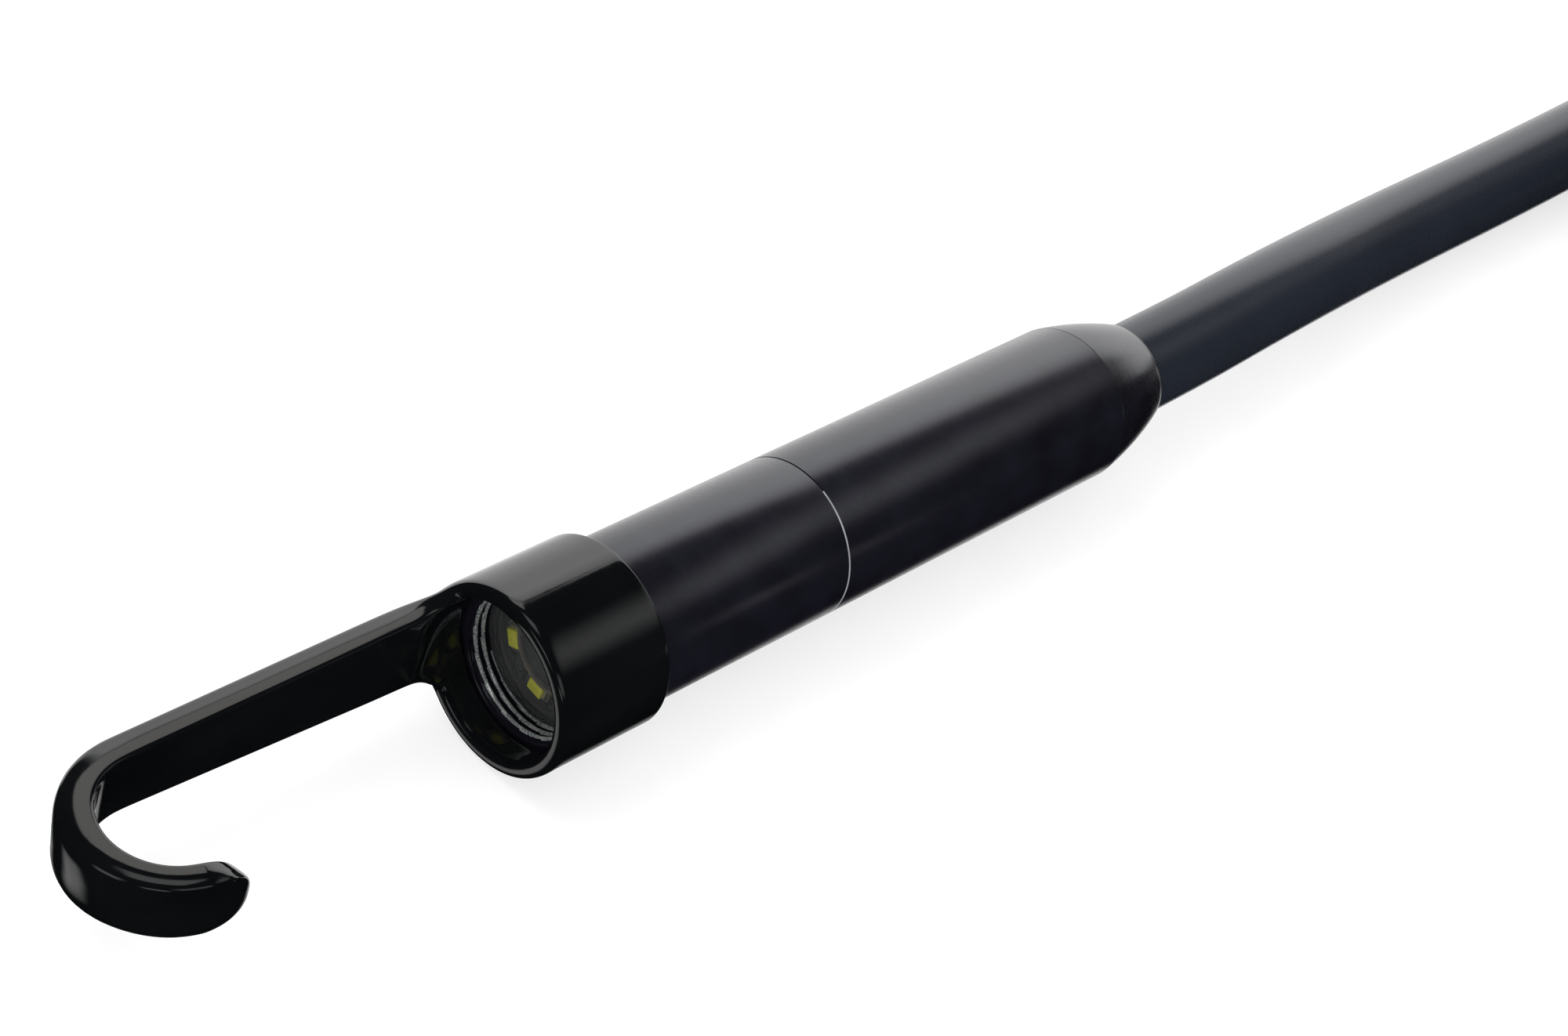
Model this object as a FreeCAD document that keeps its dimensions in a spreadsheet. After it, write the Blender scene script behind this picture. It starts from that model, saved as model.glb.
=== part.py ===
import FreeCAD, Part
import math
import os

import Sketcher

# Inspection camera head with a slip-on pickup hook, on a semi-rigid cable that ends in a round plug.
# Frame: millimetres, origin at the centre of the nose's mouth, +X along the barrel towards the cable,
# +Y towards the hook's arm, +Z up. The sleeve of the hook, the coil and the plug rest on one surface.

DIMENSIONS = {
    # outside of the head
    "barrel_radius": 4.5, "seam_x": 18.65, "crease_x": 41.15, "tail_x": 46.6, "edge_break": 0.12,
    "tail_curve_radius": 25.0, "lip_start_x": 46.25, "lip_start_radius": 3.14, "mouth_radius": 2.85,
    # nose thread and the bore behind it
    "thread_radius": 3.73, "thread_length": 1.35, "front_bore_radius": 3.9, "front_bore_end": 15.0,
    # joint between the two barrels
    "spigot_radius": 4.05, "spigot_bore_radius": 3.45, "spigot_length": 4.0, "fit_gap": 0.02,
    "seal_groove_x": 19.9, "seal_groove_width": 0.5, "seal_groove_radius": 3.68, "seal_wire": 0.18,
    # tail joint, gland and ferrule
    "rear_bore_radius": 3.6, "tail_thread_radius": 3.95, "tail_thread_length": 4.0,
    "gland_bore_radius": 3.42, "gland_seat_x": 43.0, "gland_start_x": 39.6, "ferrule_start_x": 37.6,
    "jacket_start_x": 38.0, "slip": 0.03,
    # window, light ring and optics
    "window_radius": 3.85, "window_thickness": 0.4, "window_seal_thickness": 0.5,
    "window_seal_bore": 3.45, "led_board_thickness": 0.4, "led_board_bore": 2.30, "led_circle": 2.7,
    "led_length": 1.6, "led_width": 0.8, "led_base_height": 0.15, "led_glow_height": 0.24,
    "led_glow_length": 1.3, "led_glow_width": 0.66, "led_angle": -24.0, "led_count": 6,
    "baffle_start_x": 1.82, "baffle_radius": 2.28, "baffle_bore": 2.08, "baffle_length": 1.6,
    "lens_front_x": 1.95, "lens_tube_radius": 2.05, "lens_flare_radius": 1.75, "lens_seat_radius": 1.3,
    "lens_seat_x": 2.6, "stop_x": 3.4, "stop_end_x": 3.6, "stop_radius": 0.45, "iris_land_radius": 0.6,
    "rear_seat_x": 3.9, "rear_seat_radius": 1.5, "lens_tube_end": 6.4, "front_lens_dome": 2.2,
    "rear_lens_x": 4.4, "rear_lens_thickness": 0.8, "lens_gap": 0.02,
    "mount_x": 4.0, "mount_end_x": 7.95, "mount_side": 5.2, "mount_bore": 2.07, "mount_ledge_x": 6.5,
    "mount_ledge_bore": 1.6, "mount_cavity_x": 6.7, "mount_cavity_side": 4.2,
    "filter_side": 3.8, "filter_thickness": 0.25, "sensor_side": 3.4, "sensor_thickness": 0.6,
    "sensor_board_radius": 3.85, "sensor_board_thickness": 0.6, "spacer_bore": 3.7,
    "stack_radius": 3.88, "retainer_length": 0.7, "retainer_bore": 3.2,
    # electronics behind the camera
    "board_x": 11.5, "board_length": 14.0, "board_width": 6.2, "board_thickness": 0.8,
    "ribbon_width": 3.0, "ribbon_thickness": 0.12, "ribbon_end_x": 12.6,
    "sleeve_x": 11.2, "sleeve_length": 14.8, "sleeve_radius": 3.38, "sleeve_bore": 3.25,
    "core_radius": 0.33, "core_start_x": 23.6, "core_spacing": 1.5, "led_wire_radius": 0.2,
    "led_wire_offset": 3.05,
    # hook attachment
    "sleeve_outer": 5.16, "sleeve_front": 1.9, "sleeve_back": 5.15, "sleeve_fit": 0.03,
    "nose_gap": 0.05, "stop_bore": 4.2, "sleeve_round": 0.36,
    "grip_x": 3.6, "grip_groove_width": 0.6, "grip_groove_radius": 4.95, "grip_wire": 0.19,
    "grip_radius": 4.72, "arm_inner": 3.7, "arm_thickness": 1.6, "curl_x": 20.9, "curl_offset": 0.35,
    "arm_root_half": 2.3, "arm_bend_half": 1.85, "tip_angle": 23.0,
    # cable, coil and tie
    "cable_radius": 2.75, "floor_z": -5.16, "coil_x": 121.0, "coil_radius": 29.0, "coil_turns": 4.5,
    "tie_thickness": 0.5, "tie_width": 11.0, "plug_tail_x": 91.0,
    # plug
    "boot_tip_radius": 3.7, "boot_radius": 4.9, "boot_length": 14.0, "boot_flange_radius": 5.6,
    "boot_flange_length": 2.0, "clamp_radius": 6.8, "clamp_bore": 6.0, "clamp_mouth": 5.0,
    "clamp_start": 12.0, "clamp_length": 10.0, "shell_start": 16.0, "shell_collar": 22.2,
    "shell_sleeve": 25.2, "shell_end": 37.0, "spigot_end": 40.0, "shell_tail_radius": 5.95,
    "shell_collar_radius": 6.6, "shell_sleeve_radius": 5.6, "plug_spigot_radius": 4.9,
    "shell_bore": 4.5, "nut_start": 25.5, "nut_lip_end": 29.9, "nut_end": 36.5, "nut_radius": 7.5,
    "nut_bore": 5.66, "nut_thread_radius": 6.3, "clip_start": 30.0, "clip_length": 0.6,
    "clip_radius": 6.1, "insert_start": 26.0, "insert_end": 37.5, "pin_radius": 0.5,
    "pin_circle": 2.5, "pin_count": 4, "pin_start": 24.0, "pin_end": 39.5, "face_seal_wire": 0.3,
    "seal_seat_radius": 5.2, "seal_seat_end": 37.7,
}

# The cable's route: straight out of the tail, down to the surface and on to the coil.
RUN_ROUTE = [
    (38.0, 0.0, 0.0),
    (50.0, 0.0, 0.0),
    (62.0, 0.95, -0.35),
    (76.0, 1.75, -1.75),
    (92.0, 2.4, -2.41),
    (108.0, 2.95, -2.41),
    (121.0, 3.1, -1.91),
]
# The short lead from the top of the coil to the plug, which lies beside it.
LEAD_ROUTE = [
    (121.0, -67.3, 3.59),
    (109.0, -67.5, 3.2),
    (97.5, -64.6, 2.34),
    (86.5, -64.6, 2.34),
]

doc = FreeCAD.newDocument("inspection_head")
sheet = doc.addObject("Spreadsheet::Sheet", "dims")
for row, (alias, number) in enumerate(DIMENSIONS.items(), start=1):
    sheet.set("A%d" % row, alias)
    sheet.set("B%d" % row, str(number))
    sheet.setAlias("B%d" % row, alias)
doc.recompute()

ALONG_X = FreeCAD.Rotation(FreeCAD.Vector(0, 1, 0), 90)
COIL_Y = RUN_ROUTE[-1][1] - sheet.coil_radius - sheet.coil_turns * sheet.cable_radius / 2
PLUG_Y = LEAD_ROUTE[-1][1]
PLUG_Z = LEAD_ROUTE[-1][2]
subparts = []


def finish(thing, label):
    """Give an object its node name and put it on the list of sub-parts."""
    thing.Label = label
    subparts.append(thing)
    return thing


def bind(thing, **formulas):
    """Bind properties to the sheet; a double underscore stands for a dot in the property's path."""
    for path, formula in formulas.items():
        thing.setExpression(path.replace("__", "."), formula)
    return thing


def rod(name, start, length, radius, centre_y="0", centre_z="0"):
    """A cylinder along +X."""
    thing = doc.addObject("Part::Cylinder", name)
    thing.Placement = FreeCAD.Placement(FreeCAD.Vector(), ALONG_X)
    return bind(thing, Radius=radius, Height=length, Placement__Base__x=start,
                Placement__Base__y=centre_y, Placement__Base__z=centre_z)


def cone(name, start, length, first_radius, last_radius, centre_y="0", centre_z="0"):
    """A cone along +X."""
    thing = doc.addObject("Part::Cone", name)
    thing.Placement = FreeCAD.Placement(FreeCAD.Vector(), ALONG_X)
    return bind(thing, Radius1=first_radius, Radius2=last_radius, Height=length,
                Placement__Base__x=start, Placement__Base__y=centre_y, Placement__Base__z=centre_z)


def torus(name, centre_x, major, minor, centre_y="0", centre_z="0"):
    """A ring of round wire about the X direction."""
    thing = doc.addObject("Part::Torus", name)
    thing.Placement = FreeCAD.Placement(FreeCAD.Vector(), ALONG_X)
    return bind(thing, Radius1=major, Radius2=minor, Placement__Base__x=centre_x,
                Placement__Base__y=centre_y, Placement__Base__z=centre_z)


def block(name, start, size_x, size_y, size_z, centre_y="0", centre_z="0"):
    """A box that starts at start along X and is centred on the other two axes."""
    thing = doc.addObject("Part::Box", name)
    return bind(thing, Length=size_x, Width=size_y, Height=size_z, Placement__Base__x=start,
                Placement__Base__y="%s - (%s) / 2" % (centre_y, size_y),
                Placement__Base__z="%s - (%s) / 2" % (centre_z, size_z))


def cut(name, base, tool):
    thing = doc.addObject("Part::Cut", name)
    thing.Base = base
    thing.Tool = tool
    return thing


def join(name, things):
    thing = doc.addObject("Part::MultiFuse", name)
    thing.Shapes = things
    return thing


def group(name, things):
    """Separate solids kept in one node."""
    thing = doc.addObject("Part::Compound", name)
    thing.Links = things
    return thing


def common(name, base, tool):
    thing = doc.addObject("Part::Common", name)
    thing.Base = base
    thing.Tool = tool
    return thing


def tube(name, start, length, outer, inner, centre_y="0", centre_z="0"):
    """A plain tube along +X."""
    return cut(name, rod(name + "_outside", start, length, outer, centre_y, centre_z),
               rod(name + "_bore", start, length, inner, centre_y, centre_z))


def origin_plane(body, role):
    for feature in body.Origin.OriginFeatures:
        if feature.Role == role:
            return feature


def pin_down(sketch, line, end, horizontal, vertical):
    """Hold one end of a line at a place given by two formulas."""
    point = sketch.getPoint(line, end)
    for kind, formula, value in (("DistanceX", horizontal, point.x), ("DistanceY", vertical, point.y)):
        number = sketch.addConstraint(Sketcher.Constraint(kind, -1, 1, line, end, value))
        sketch.setExpression("Constraints[%d]" % number, formula)


def closed_outline(body, name, corners, plane="XY_Plane"):
    """A sketch of straight lines through corners, each a pair of formulas."""
    sketch = body.newObject("Sketcher::SketchObject", name)
    sketch.AttachmentSupport = (origin_plane(body, plane), [""])
    sketch.MapMode = "FlatFace"
    count = len(corners)
    rough = [FreeCAD.Vector(20 + 9 * math.cos(2 * math.pi * step / count),
                            20 + 9 * math.sin(2 * math.pi * step / count), 0) for step in range(count)]
    for step in range(count):
        sketch.addGeometry(Part.LineSegment(rough[step], rough[(step + 1) % count]), False)
    for step in range(count):
        following = (step + 1) % count
        sketch.addConstraint(Sketcher.Constraint("Coincident", step, 2, following, 1))
    for step, (horizontal, vertical) in enumerate(corners):
        pin_down(sketch, step, 1, horizontal, vertical)
    return sketch


def revolve_sketch(body, sketch, name):
    """Turn a sketch in the XY plane about the X axis."""
    turning = body.newObject("PartDesign::Revolution", name)
    turning.Profile = sketch
    turning.ReferenceAxis = (sketch, ["H_Axis"])
    turning.Angle = 360
    return turning


def turned(label, corners):
    """A lathe-turned body: corners are (x, radius) formulas of half its section."""
    body = doc.addObject("PartDesign::Body", label)
    sketch = closed_outline(body, label + "_section", corners)
    revolve_sketch(body, sketch, label + "_turning")
    return finish(body, label)


# ---- head: outside ----

def front_barrel():
    """Nose tube: short internal thread at the mouth, spigot at the back for the rear barrel."""
    back = "dims.seam_x + dims.spigot_length"
    groove_end = "dims.seal_groove_x + dims.seal_groove_width"
    turned("front_barrel", [
        ("0", "dims.thread_radius"),
        ("0", "dims.barrel_radius - dims.edge_break"),
        ("dims.edge_break", "dims.barrel_radius"),
        ("dims.seam_x - dims.edge_break", "dims.barrel_radius"),
        ("dims.seam_x", "dims.barrel_radius - dims.edge_break"),
        ("dims.seam_x", "dims.spigot_radius"),
        ("dims.seal_groove_x", "dims.spigot_radius"),
        ("dims.seal_groove_x", "dims.seal_groove_radius"),
        (groove_end, "dims.seal_groove_radius"),
        (groove_end, "dims.spigot_radius"),
        (back, "dims.spigot_radius"),
        (back, "dims.spigot_bore_radius"),
        ("dims.front_bore_end", "dims.spigot_bore_radius"),
        ("dims.front_bore_end", "dims.front_bore_radius"),
        ("dims.thread_length", "dims.front_bore_radius"),
        ("dims.thread_length", "dims.thread_radius"),
    ])


def rear_barrel():
    """Long tube behind the seam, with a socket at each end."""
    socket = "dims.spigot_radius + dims.fit_gap"
    socket_end = "dims.seam_x + dims.spigot_length + 0.1"
    tail_socket = "dims.tail_thread_radius + dims.fit_gap"
    tail_socket_start = "dims.crease_x - dims.tail_thread_length"
    turned("rear_barrel", [
        ("dims.seam_x", socket),
        ("dims.seam_x", "dims.barrel_radius - dims.edge_break"),
        ("dims.seam_x + dims.edge_break", "dims.barrel_radius"),
        ("dims.crease_x", "dims.barrel_radius"),
        ("dims.crease_x", tail_socket),
        (tail_socket_start, tail_socket),
        (tail_socket_start, "dims.rear_bore_radius"),
        (socket_end, "dims.rear_bore_radius"),
        (socket_end, socket),
    ])


def tail_cap():
    """Bullet-shaped cap that screws into the rear barrel and squeezes the gland seal."""
    body = doc.addObject("PartDesign::Body", "tail_cap")
    sketch = body.newObject("Sketcher::SketchObject", "tail_cap_section")
    sketch.AttachmentSupport = (origin_plane(body, "XY_Plane"), [""])
    sketch.MapMode = "FlatFace"
    thread_start = "dims.crease_x - dims.tail_thread_length + 0.05"
    corners = [
        (thread_start, "dims.gland_bore_radius"),
        (thread_start, "dims.tail_thread_radius"),
        ("dims.crease_x", "dims.tail_thread_radius"),
        ("dims.crease_x", "dims.barrel_radius"),
        ("dims.lip_start_x", "dims.lip_start_radius"),
        ("dims.tail_x", "dims.mouth_radius"),
        ("dims.gland_seat_x", "dims.mouth_radius"),
        ("dims.gland_seat_x", "dims.gland_bore_radius"),
    ]
    rough = [(37.2, 3.4), (37.2, 3.95), (41.15, 3.95), (41.15, 4.5), (46.2, 3.1), (46.6, 2.9),
             (43.0, 2.9), (43.0, 3.4)]
    points = [FreeCAD.Vector(across, up, 0) for across, up in rough]
    count = len(points)
    bulge = {3: FreeCAD.Vector(43.9, 3.95, 0), 4: FreeCAD.Vector(46.5, 3.05, 0)}
    for step in range(count):
        first = points[step]
        last = points[(step + 1) % count]
        if step in bulge:
            sketch.addGeometry(Part.Arc(first, bulge[step], last), False)
        else:
            sketch.addGeometry(Part.LineSegment(first, last), False)
    # a clockwise arc is stored turned round, so its first end is its second point
    ends = [(2, 1) if step in bulge else (1, 2) for step in range(count)]
    for step in range(count):
        following = (step + 1) % count
        sketch.addConstraint(
            Sketcher.Constraint("Coincident", step, ends[step][1], following, ends[following][0]))
    for step, (horizontal, vertical) in enumerate(corners):
        pin_down(sketch, step, ends[step][0], horizontal, vertical)
    for step, formula in ((3, "dims.tail_curve_radius"), (4, "dims.tail_x - dims.lip_start_x + 0.1")):
        number = sketch.addConstraint(Sketcher.Constraint("Radius", step, sketch.Geometry[step].Radius))
        sketch.setExpression("Constraints[%d]" % number, formula)
    revolve_sketch(body, sketch, "tail_cap_turning")
    finish(body, "tail_cap")


def barrel_seals():
    """O-ring between the barrels, rubber gland bush and crimp ferrule on the cable's end."""
    finish(torus("barrel_seal", "dims.seal_groove_x + dims.seal_groove_width / 2",
                 "dims.spigot_radius - dims.seal_wire + dims.fit_gap / 2", "dims.seal_wire"), "barrel_seal")
    bore = "dims.cable_radius + dims.slip"
    finish(tube("gland_seal", "dims.gland_start_x", "dims.gland_seat_x - dims.gland_start_x",
                "dims.gland_bore_radius - dims.fit_gap", bore), "gland_seal")
    finish(tube("cable_ferrule", "dims.ferrule_start_x",
                "dims.gland_start_x - dims.ferrule_start_x", "dims.gland_bore_radius - 0.04", bore),
           "cable_ferrule")


# ---- head: window, lights and optics ----

WINDOW_BACK = "dims.thread_length + dims.window_thickness"
BOARD_FRONT = WINDOW_BACK + " + dims.window_seal_thickness"
BOARD_BACK = BOARD_FRONT + " + dims.led_board_thickness"


def window_parts():
    """Flat window behind the thread and the rubber ring that seats it."""
    finish(rod("window", "dims.thread_length", "dims.window_thickness", "dims.window_radius"), "window")
    finish(tube("window_seal", WINDOW_BACK, "dims.window_seal_thickness", "dims.window_radius",
                "dims.window_seal_bore"), "window_seal")


def light_ring():
    """Ring board with six surface-mounted lamps, and the tube that keeps their light off the lens."""
    finish(tube("led_board", BOARD_FRONT, "dims.led_board_thickness", "dims.window_radius",
                "dims.led_board_bore"), "led_board")
    finish(tube("light_baffle", "dims.baffle_start_x", "dims.baffle_length", "dims.baffle_radius",
                "dims.baffle_bore"), "light_baffle")
    base_front = BOARD_FRONT + " - dims.led_base_height"
    finish(led_set("led_base", base_front, "dims.led_base_height", "dims.led_width", "dims.led_length"),
           "led_bases")
    finish(led_set("led_glow", base_front + " - dims.led_glow_height", "dims.led_glow_height",
                   "dims.led_glow_width", "dims.led_glow_length"), "led_phosphors")


def led_set(name, start, height, width, length):
    """One box for each lamp, turned about X to its place on the ring."""
    boxes = []
    for step in range(int(sheet.led_count)):
        turn = math.radians(sheet.led_angle + 360.0 / sheet.led_count * step)
        box = doc.addObject("Part::Box", "%s_%d" % (name, step))
        box.Placement = FreeCAD.Placement(
            FreeCAD.Vector(), FreeCAD.Rotation(FreeCAD.Vector(1, 0, 0), math.degrees(turn)))
        inner = "(dims.led_circle - %s / 2)" % width
        side = "(%s / 2)" % length
        angle = "(dims.led_angle + 360 / dims.led_count * %d)" % step
        bind(box, Length=height, Width=width, Height=length, Placement__Base__x=start,
             Placement__Base__y="%s * cos(%s) + %s * sin(%s)" % (inner, angle, side, angle),
             Placement__Base__z="%s * sin(%s) - %s * cos(%s)" % (inner, angle, side, angle))
        boxes.append(box)
    return group(name + "_group", boxes)


def lens_barrel():
    """Turned lens tube: flared mouth, front lens seat, stop land and rear bore."""
    turned("lens_barrel", [
        ("dims.lens_front_x", "dims.lens_flare_radius"),
        ("dims.lens_front_x", "dims.lens_tube_radius"),
        ("dims.lens_tube_end", "dims.lens_tube_radius"),
        ("dims.lens_tube_end", "dims.rear_seat_radius"),
        ("dims.rear_seat_x", "dims.rear_seat_radius"),
        ("dims.rear_seat_x", "dims.iris_land_radius"),
        ("dims.stop_end_x", "dims.iris_land_radius"),
        ("dims.stop_end_x", "dims.lens_seat_radius"),
        ("dims.lens_seat_x", "dims.lens_seat_radius"),
    ])


def lenses():
    """Domed front lens, its stop, and the flat-backed rear lens."""
    radius = "dims.lens_seat_radius - dims.lens_gap"
    dome = doc.addObject("Part::Sphere", "front_lens_dome_ball")
    bind(dome, Radius="dims.front_lens_dome", Placement__Base__x="dims.lens_seat_x + dims.front_lens_dome")
    blank = rod("front_lens_blank", "dims.lens_seat_x", "dims.stop_x - dims.lens_seat_x", radius)
    finish(common("front_lens", blank, dome), "front_lens")
    finish(tube("aperture_stop", "dims.stop_x", "dims.stop_end_x - dims.stop_x", radius,
                "dims.stop_radius"), "aperture_stop")
    finish(rod("rear_lens", "dims.rear_lens_x", "dims.rear_lens_thickness",
               "dims.rear_seat_radius - dims.lens_gap"), "rear_lens")


def camera_block():
    """Square lens mount with its filter, the sensor and the round board that carries them."""
    length = "dims.mount_end_x - dims.mount_x"
    shell = block("mount_shell", "dims.mount_x", length, "dims.mount_side", "dims.mount_side")
    hollows = join("mount_hollows", [
        rod("mount_lens_bore", "dims.mount_x", "dims.mount_ledge_x - dims.mount_x", "dims.mount_bore"),
        rod("mount_light_bore", "dims.mount_x", "dims.mount_cavity_x - dims.mount_x",
            "dims.mount_ledge_bore"),
        block("mount_cavity", "dims.mount_cavity_x", "dims.mount_end_x - dims.mount_cavity_x",
              "dims.mount_cavity_side", "dims.mount_cavity_side"),
    ])
    finish(cut("lens_mount", shell, hollows), "lens_mount")
    finish(block("ir_filter", "dims.mount_cavity_x", "dims.filter_thickness", "dims.filter_side",
                 "dims.filter_side"), "ir_filter")
    finish(block("image_sensor", "dims.mount_end_x - dims.sensor_thickness", "dims.sensor_thickness",
                 "dims.sensor_side", "dims.sensor_side"), "image_sensor")
    finish(rod("sensor_board", "dims.mount_end_x", "dims.sensor_board_thickness",
               "dims.sensor_board_radius"), "sensor_board")


def stack_holders():
    """Spacer that keeps the light ring against the window, and the ring that locks the stack."""
    finish(tube("stack_spacer", BOARD_BACK, "dims.mount_end_x - (%s)" % BOARD_BACK,
                "dims.stack_radius", "dims.spacer_bore"), "stack_spacer")
    finish(tube("stack_retainer", "dims.mount_end_x + dims.sensor_board_thickness",
                "dims.retainer_length", "dims.stack_radius", "dims.retainer_bore"), "stack_retainer")
    wires = [rod("led_wire_%d" % step, BOARD_BACK, "dims.mount_end_x - (%s)" % BOARD_BACK,
                 "dims.led_wire_radius", "0", "%d * dims.led_wire_offset" % side)
             for step, side in enumerate((1, -1))]
    finish(group("led_wire_pair", wires), "led_wires")


# ---- head: electronics ----

# Chips on the processor board: distance behind the board's front edge, offset across, length along,
# width across, height, and which face they are soldered to.
CHIPS = {
    "video_chip": (5.6, 0.0, 4.0, 4.0, 0.8, 1),
    "clock_crystal": (2.2, 1.5, 1.6, 1.2, 0.6, 1),
    "memory_chip": (9.6, 0.6, 2.6, 3.0, 0.6, 1),
    "power_chip": (4.0, -0.8, 1.8, 1.8, 0.6, -1),
    "choke": (7.6, 0.9, 2.0, 2.0, 1.0, -1),
    "tank_capacitor": (10.2, -1.2, 1.6, 0.8, 0.8, -1),
}


def electronics():
    """Processor board with its chips, the flexible link, the insulating sleeve and the cable's wires."""
    finish(block("processor_board", "dims.board_x", "dims.board_length", "dims.board_width",
                 "dims.board_thickness"), "processor_board")
    chips = []
    for name, (along, across, length, width, height, face) in CHIPS.items():
        centre_z = "%d * (dims.board_thickness + %s) / 2" % (face, height)
        chips.append(block(name, "dims.board_x + %s - %s / 2" % (along, length), str(length),
                           str(width), str(height), str(across), centre_z))
    finish(group("chip_group", chips), "board_chips")
    ribbon_start = "dims.mount_end_x + dims.sensor_board_thickness"
    finish(block("flex_link", ribbon_start, "dims.ribbon_end_x - (%s)" % ribbon_start,
                 "dims.ribbon_width", "dims.ribbon_thickness", "0",
                 "(dims.board_thickness + dims.ribbon_thickness) / 2"), "flex_link")
    finish(tube("board_sleeve", "dims.sleeve_x", "dims.sleeve_length", "dims.sleeve_radius",
                "dims.sleeve_bore"), "board_sleeve")
    cores = []
    for step in range(4):
        across = 1 if step % 2 else -1
        up = 1 if step < 2 else -1
        cores.append(rod("core_%d" % step, "dims.core_start_x", "dims.jacket_start_x - dims.core_start_x",
                         "dims.core_radius", "%d * dims.core_spacing / 2" % across,
                         "%d * (dims.board_thickness / 2 + dims.core_radius)" % up))
    finish(group("core_group", cores), "cable_cores")


# ---- hook attachment ----

def hook_attachment():
    """Sleeve with a stop lip, and a tapered strap that runs forward and curls back across the nose."""
    sleeve = doc.addObject("PartDesign::Body", "hook_sleeve")
    bore = "dims.barrel_radius + dims.sleeve_fit"
    front = "-dims.sleeve_front"
    groove_start = "dims.grip_x - dims.grip_groove_width / 2"
    groove_end = "dims.grip_x + dims.grip_groove_width / 2"
    section = closed_outline(sleeve, "hook_sleeve_section", [
        (front, "dims.stop_bore"),
        (front, "dims.sleeve_outer - dims.sleeve_round"),
        (front + " + dims.sleeve_round", "dims.sleeve_outer"),
        ("dims.sleeve_back", "dims.sleeve_outer"),
        ("dims.sleeve_back", bore),
        (groove_end, bore),
        (groove_end, "dims.grip_groove_radius"),
        (groove_start, "dims.grip_groove_radius"),
        (groove_start, bore),
        ("-dims.nose_gap", bore),
        ("-dims.nose_gap", "dims.stop_bore"),
    ])
    revolve_sketch(sleeve, section, "hook_sleeve_turning")
    strap = common("hook_strap", curl_plate(), strap_outline())
    finish(join("hook_attachment", [sleeve, strap]), "hook_attachment")


def curl_plate():
    """The strap seen from above: a straight arm and a curl of constant thickness, as a tall plate."""
    half = 3.0
    curl = FreeCAD.Vector(-sheet.curl_x, sheet.curl_offset, -half)
    inner = sheet.arm_inner - sheet.curl_offset
    outer = inner + sheet.arm_thickness
    tip = math.radians(270 + sheet.tip_angle)
    middle = math.radians((90 + 270 + sheet.tip_angle) / 2)

    def at(radius, angle):
        return curl + FreeCAD.Vector(radius * math.cos(angle), radius * math.sin(angle), 0)

    root_x = -sheet.sleeve_front + sheet.arm_thickness
    quarter = math.radians(90)
    edges = [
        Part.LineSegment(FreeCAD.Vector(root_x, sheet.arm_inner, -half), at(inner, quarter)).toShape(),
        Part.Arc(at(inner, quarter), at(inner, middle), at(inner, tip)).toShape(),
        Part.LineSegment(at(inner, tip), at(outer, tip)).toShape(),
        Part.Arc(at(outer, tip), at(outer, middle), at(outer, quarter)).toShape(),
    ]
    root_top = FreeCAD.Vector(root_x, sheet.arm_inner + sheet.arm_thickness, -half)
    edges.append(Part.LineSegment(at(outer, quarter), root_top).toShape())
    edges.append(Part.LineSegment(root_top, FreeCAD.Vector(root_x, sheet.arm_inner, -half)).toShape())
    plate = Part.Face(Part.Wire(edges)).extrude(FreeCAD.Vector(0, 0, 2 * half))
    # the part of the strap that reaches into the sleeve stays inside its wall
    wall = Part.makeCylinder(sheet.sleeve_outer, sheet.curl_x, FreeCAD.Vector(-sheet.sleeve_front, 0, 0),
                             FreeCAD.Vector(1, 0, 0))
    bore = Part.makeCylinder(sheet.stop_bore, 2 * sheet.curl_x, FreeCAD.Vector(-sheet.sleeve_front, 0, 0),
                             FreeCAD.Vector(1, 0, 0))
    forward = Part.makeBox(2 * sheet.curl_x, 4 * half, 4 * half,
                           FreeCAD.Vector(-2 * sheet.curl_x - sheet.sleeve_front, -2 * half, -2 * half))
    feature = doc.addObject("Part::Feature", "curl_plate")
    feature.Shape = plate.common(forward).fuse(plate.common(wall).cut(bore)).removeSplitter()
    return feature


def strap_outline():
    """The strap seen from the side: it tapers from the sleeve to the bend, then keeps its width."""
    body = doc.addObject("PartDesign::Body", "strap_outline")
    reach = "-dims.curl_x - dims.sleeve_outer"
    sketch = closed_outline(body, "strap_side", [
        ("0", "-dims.arm_root_half"),
        ("0", "dims.arm_root_half"),
        ("-dims.curl_x + dims.arm_thickness", "dims.arm_bend_half"),
        (reach, "dims.arm_bend_half"),
        (reach, "-dims.arm_bend_half"),
        ("-dims.curl_x + dims.arm_thickness", "-dims.arm_bend_half"),
    ], "XZ_Plane")
    pad = body.newObject("PartDesign::Pad", "strap_side_pad")
    pad.Profile = sketch
    pad.Midplane = True
    pad.setExpression("Length", "4 * dims.sleeve_outer")
    return body


def grip_ring():
    finish(torus("grip_ring", "dims.grip_x", "dims.grip_radius", "dims.grip_wire"), "grip_ring")


# ---- cable ----

def cord_path(points):
    """Straight runs joined by tangent arcs; prints each arc's radius."""
    corners = [FreeCAD.Vector(*point) for point in points]
    edges = []
    start = corners[0]
    for before, corner, after in zip(corners, corners[1:], corners[2:]):
        coming = (corner - before).normalize()
        going = (after - corner).normalize()
        half_turn = coming.getAngle(going) / 2
        reach = 0.45 * min((corner - before).Length, (after - corner).Length)
        radius = reach / math.tan(half_turn)
        first = corner - coming * reach
        last = corner + going * reach
        inward = (going - coming).normalize()
        middle = corner + inward * (radius / math.cos(half_turn) - radius)
        print("cord arc radius %.1f mm" % radius)
        edges.append(Part.LineSegment(start, first).toShape())
        edges.append(Part.Arc(first, middle, last).toShape())
        start = last
    edges.append(Part.LineSegment(start, corners[-1]).toShape())
    return Part.Wire(edges)


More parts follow.
